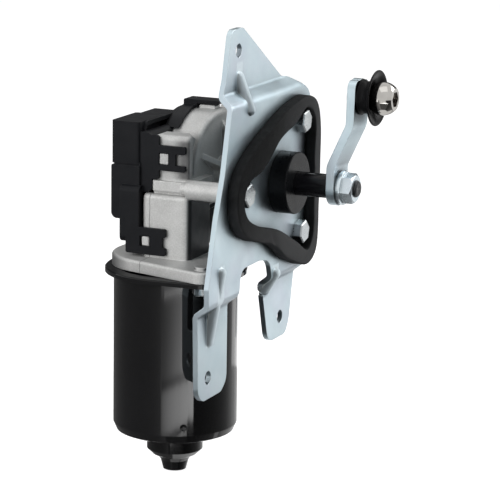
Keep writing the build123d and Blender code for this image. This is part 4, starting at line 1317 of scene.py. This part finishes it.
@dataclass
class Studio:
    """Camera, floor, world, cards and lamps, in metres.

    Attributes:
        azimuth: the camera's degrees round from -Y.
        lens_px: its focal length in pixels of the picture, whose side is frame_px.
        shift_mm: how far it is moved left and down to frame the motor.
        clip: nearest and farthest place that the camera shows.
        floor_patch: width of the floor's patches in millimetres.
        fill: brightness of the world for light that isn't seen.
    """

    azimuth: float = 24.0
    elevation: float = 12.5
    roll: float = 0.86
    distance: float = 1.2
    lens_px: float = 2490.0
    frame_px: float = 500.0
    sensor_mm: float = 36.0
    shift_mm: tuple[float, float] = (14.75, 33.06)
    floor_z: float = -0.1402
    floor_half: float = 8.0
    floor_glow: float = 0.86
    floor_colours: tuple[Colour, Colour] = ((0.55, 0.55, 0.55), (0.57, 0.57, 0.57))
    floor_patch: float = 400.0
    clip: Span = (0.05, 50.0)
    fill: float = 0.24
    fill_colour: Colour = (0.97, 0.98, 1.0)
    aim: tuple[float, float, float] = (-0.02, -0.01, -0.03)
    card_steps: int = 24
    cards: tuple[Card, ...] = (
        Card("card_left", -165.0, -27.0, -3.0, -0.02, 0.14, 0.38, bend=12.0),
        Card("card_side", -82.0, -36.0, -0.200, 0.05, 1.6, 1.6, 0.85),
        Card("card_patch", -22.0, 18.0, -0.2520, -0.2460, 3.5, 7.0),
        Card("card_front", -28.0, 17.0, -0.3215, -0.2510, 0.38, 2.75, foot=1.6),
        Card("card_gap", -26.0, 17.0, -0.3300, -0.3215, 0.2, 1.3),
        Card("card_low", -28.0, 32.0, -0.3680, -0.3300, 0.15, 5.6, 0.9, 0.5),
        Card("card_nose", -20.0, 20.0, -0.3850, -0.3780, 4.0, 4.0),
        Card("card_under", -29.0, 32.0, -3.0, -0.3680, 0.12, 0.12, 0.91),
        Card("card_right", 16.0, 104.0, -3.0, 0.0, 0.03, 0.26, 0.92, 2.2),
        Card("card_edge", 100.0, 126.0, -1.0, -0.26, 0.26, 0.6),
        Card("card_rear", 126.0, 200.0, -0.338, -0.20, 1.20, 1.20, foot=1.35),
        Card("card_shade", 126.0, 200.0, -1.0, -0.338, 0.62, 0.85),
        Card("card_behind", 125.0, 235.0, 0.04, 0.6, 0.10, 0.10),
    )
    lamps: tuple[Lamp, ...] = (
        Lamp("lamp_left", -50.0, 24.0, 1.1, 0.7, 9.0, False),
        Lamp("lamp_right", 112.0, 30.0, 1.3, 0.9, 9.0),
        Lamp("lamp_top", 10.0, 78.0, 1.2, 0.9, 1.5),
    )

    def build(self) -> None:
        """Sets up everything round the motor."""
        self._camera()
        self._world()
        self._floor()
        for card in self.cards:
            self._card(card)
        for lamp in self.lamps:
            self._lamp(lamp)
        bpy.context.scene.view_settings.view_transform = "Standard"

    def _axes(self) -> tuple[Vector, Vector, Vector]:
        """The camera's right, up and back directions.

        Returns:
            Three directions of length 1.
        """
        a, r = math.radians(self.azimuth), math.radians(self.roll)
        right = Vector((math.cos(a), math.sin(a), 0))
        back = direction(self.azimuth, self.elevation)
        up = back.cross(right)
        return (right * math.cos(r) + up * math.sin(r),
                up * math.cos(r) - right * math.sin(r), back)

    def _camera(self) -> None:
        """Places the camera at the viewing angle of the picture."""
        right, up, back = self._axes()
        data = bpy.data.cameras.new("camera")
        data.sensor_width = self.sensor_mm
        data.lens = self.sensor_mm * self.lens_px / self.frame_px
        data.clip_start, data.clip_end = self.clip
        camera = add_object("camera", data)
        left, down = self.shift_mm
        spot = back * self.distance - right * left * MM - up * down * MM
        turn = Matrix((right, up, back)).transposed().to_4x4()
        camera.matrix_world = Matrix.Translation(spot) @ turn
        bpy.context.scene.camera = camera

    @staticmethod
    def _seen(board: Board) -> Socket:
        """1 for camera, mirror and glass rays, which see the white background.

        Args:
            board: the board of a world or material.

        Returns:
            The output socket.
        """
        path = board.put("LightPath")
        first = board.calc("MAXIMUM", path.outputs["Is Camera Ray"], path.outputs["Is Glossy Ray"])
        return board.calc("MAXIMUM", first, path.outputs["Is Transmission Ray"])

    def _world(self) -> None:
        """White where it is seen, softer where it lights."""
        world = bpy.data.worlds.new("studio")
        bpy.context.scene.world = world
        board = Board.fresh(world)
        seen = board.put("Background", {"Color": WHITE, "Strength": 1.0})
        lit = board.put("Background", {"Color": self.fill_colour, "Strength": self.fill})
        mix = board.put("MixShader",
                        {0: self._seen(board), 1: lit.outputs[0], 2: seen.outputs[0]})
        board.end(mix.outputs[0], "OutputWorld")

    def _floor(self) -> None:
        """A pale floor that keeps a faint shadow."""
        mesh = bpy.data.meshes.new("floor")
        s, z = self.floor_half, self.floor_z
        mesh.from_pydata([(-s, -s, z), (s, -s, z), (s, s, z), (-s, s, z)], [], [(0, 1, 2, 3)])
        material = bpy.data.materials.new("floor_white")
        board = Board.fresh(material)
        cloud = effects.first(board, Effect.CLOUDS, Size=self.floor_patch)
        paint = board.tint(cloud, *self.floor_colours)
        matte = board.put("BsdfDiffuse", {"Color": paint})
        level = board.times(self._seen(board), self.floor_glow)
        glow = board.put("Emission", {"Color": WHITE, "Strength": level})
        both = board.put("AddShader", {0: matte.outputs[0], 1: glow.outputs[0]})
        board.end(both.outputs[0])
        mesh.materials.append(material)
        floor = add_object("floor", mesh)
        floor.visible_glossy = False

    def _card(self, card: Card) -> None:
        """Adds one curved card.

        Args:
            card: its sector, height and brightness.
        """
        points, faces, levels = [], [], []
        for i in range(self.card_steps + 1):
            f = i / self.card_steps
            a = math.radians(self.azimuth + card.start + (card.end - card.start) * f)
            x, y = math.sin(a) * card.radius, -math.cos(a) * card.radius
            points += [(x, y, card.low), (x, y, card.high)]
            level = card.glow_start + (card.glow_end - card.glow_start) * f ** card.bend
            levels += [level * card.foot, level]
            if i:
                k = 2 * i
                faces.append((k - 2, k, k + 1, k - 1))
        mesh = bpy.data.meshes.new(card.name)
        mesh.from_pydata(points, [], faces)
        mesh.attributes.new("level", "FLOAT", "POINT").data.foreach_set("value", levels)
        material = bpy.data.materials.new(card.name)
        board = Board.fresh(material)
        strength = board.put("Attribute", attribute_name="level").outputs["Fac"]
        glow = board.put("Emission", {"Color": WHITE, "Strength": strength})
        board.end(glow.outputs[0])
        mesh.materials.append(material)
        thing = add_object(card.name, mesh)
        thing.visible_camera = thing.visible_diffuse = thing.visible_shadow = False
        thing.visible_transmission = thing.visible_volume_scatter = False

    def _lamp(self, lamp: Lamp) -> None:
        """Adds one lamp.

        Args:
            lamp: its place, size and power.
        """
        way = direction(self.azimuth + lamp.around, lamp.up)
        data = bpy.data.lights.new(lamp.name, "AREA")
        data.shape = "SQUARE"
        data.size = lamp.size
        data.energy = lamp.power
        thing = add_object(lamp.name, data)
        thing.visible_glossy = lamp.glossy
        turn = way.to_track_quat("Z", "Y").to_matrix().to_4x4()
        thing.matrix_world = Matrix.Translation(Vector(self.aim) + way * lamp.distance) @ turn


def main() -> None:
    """Builds and dresses each sub-assembly, then the studio."""
    logging.basicConfig(level=logging.INFO, format="%(name)s: %(message)s")
    for part in (Bracket(), Gearbox(), Motor(), CrankDrive()):
        part.build()
        part.dress()
    Studio().build()


if __name__ == "__main__":
    main()
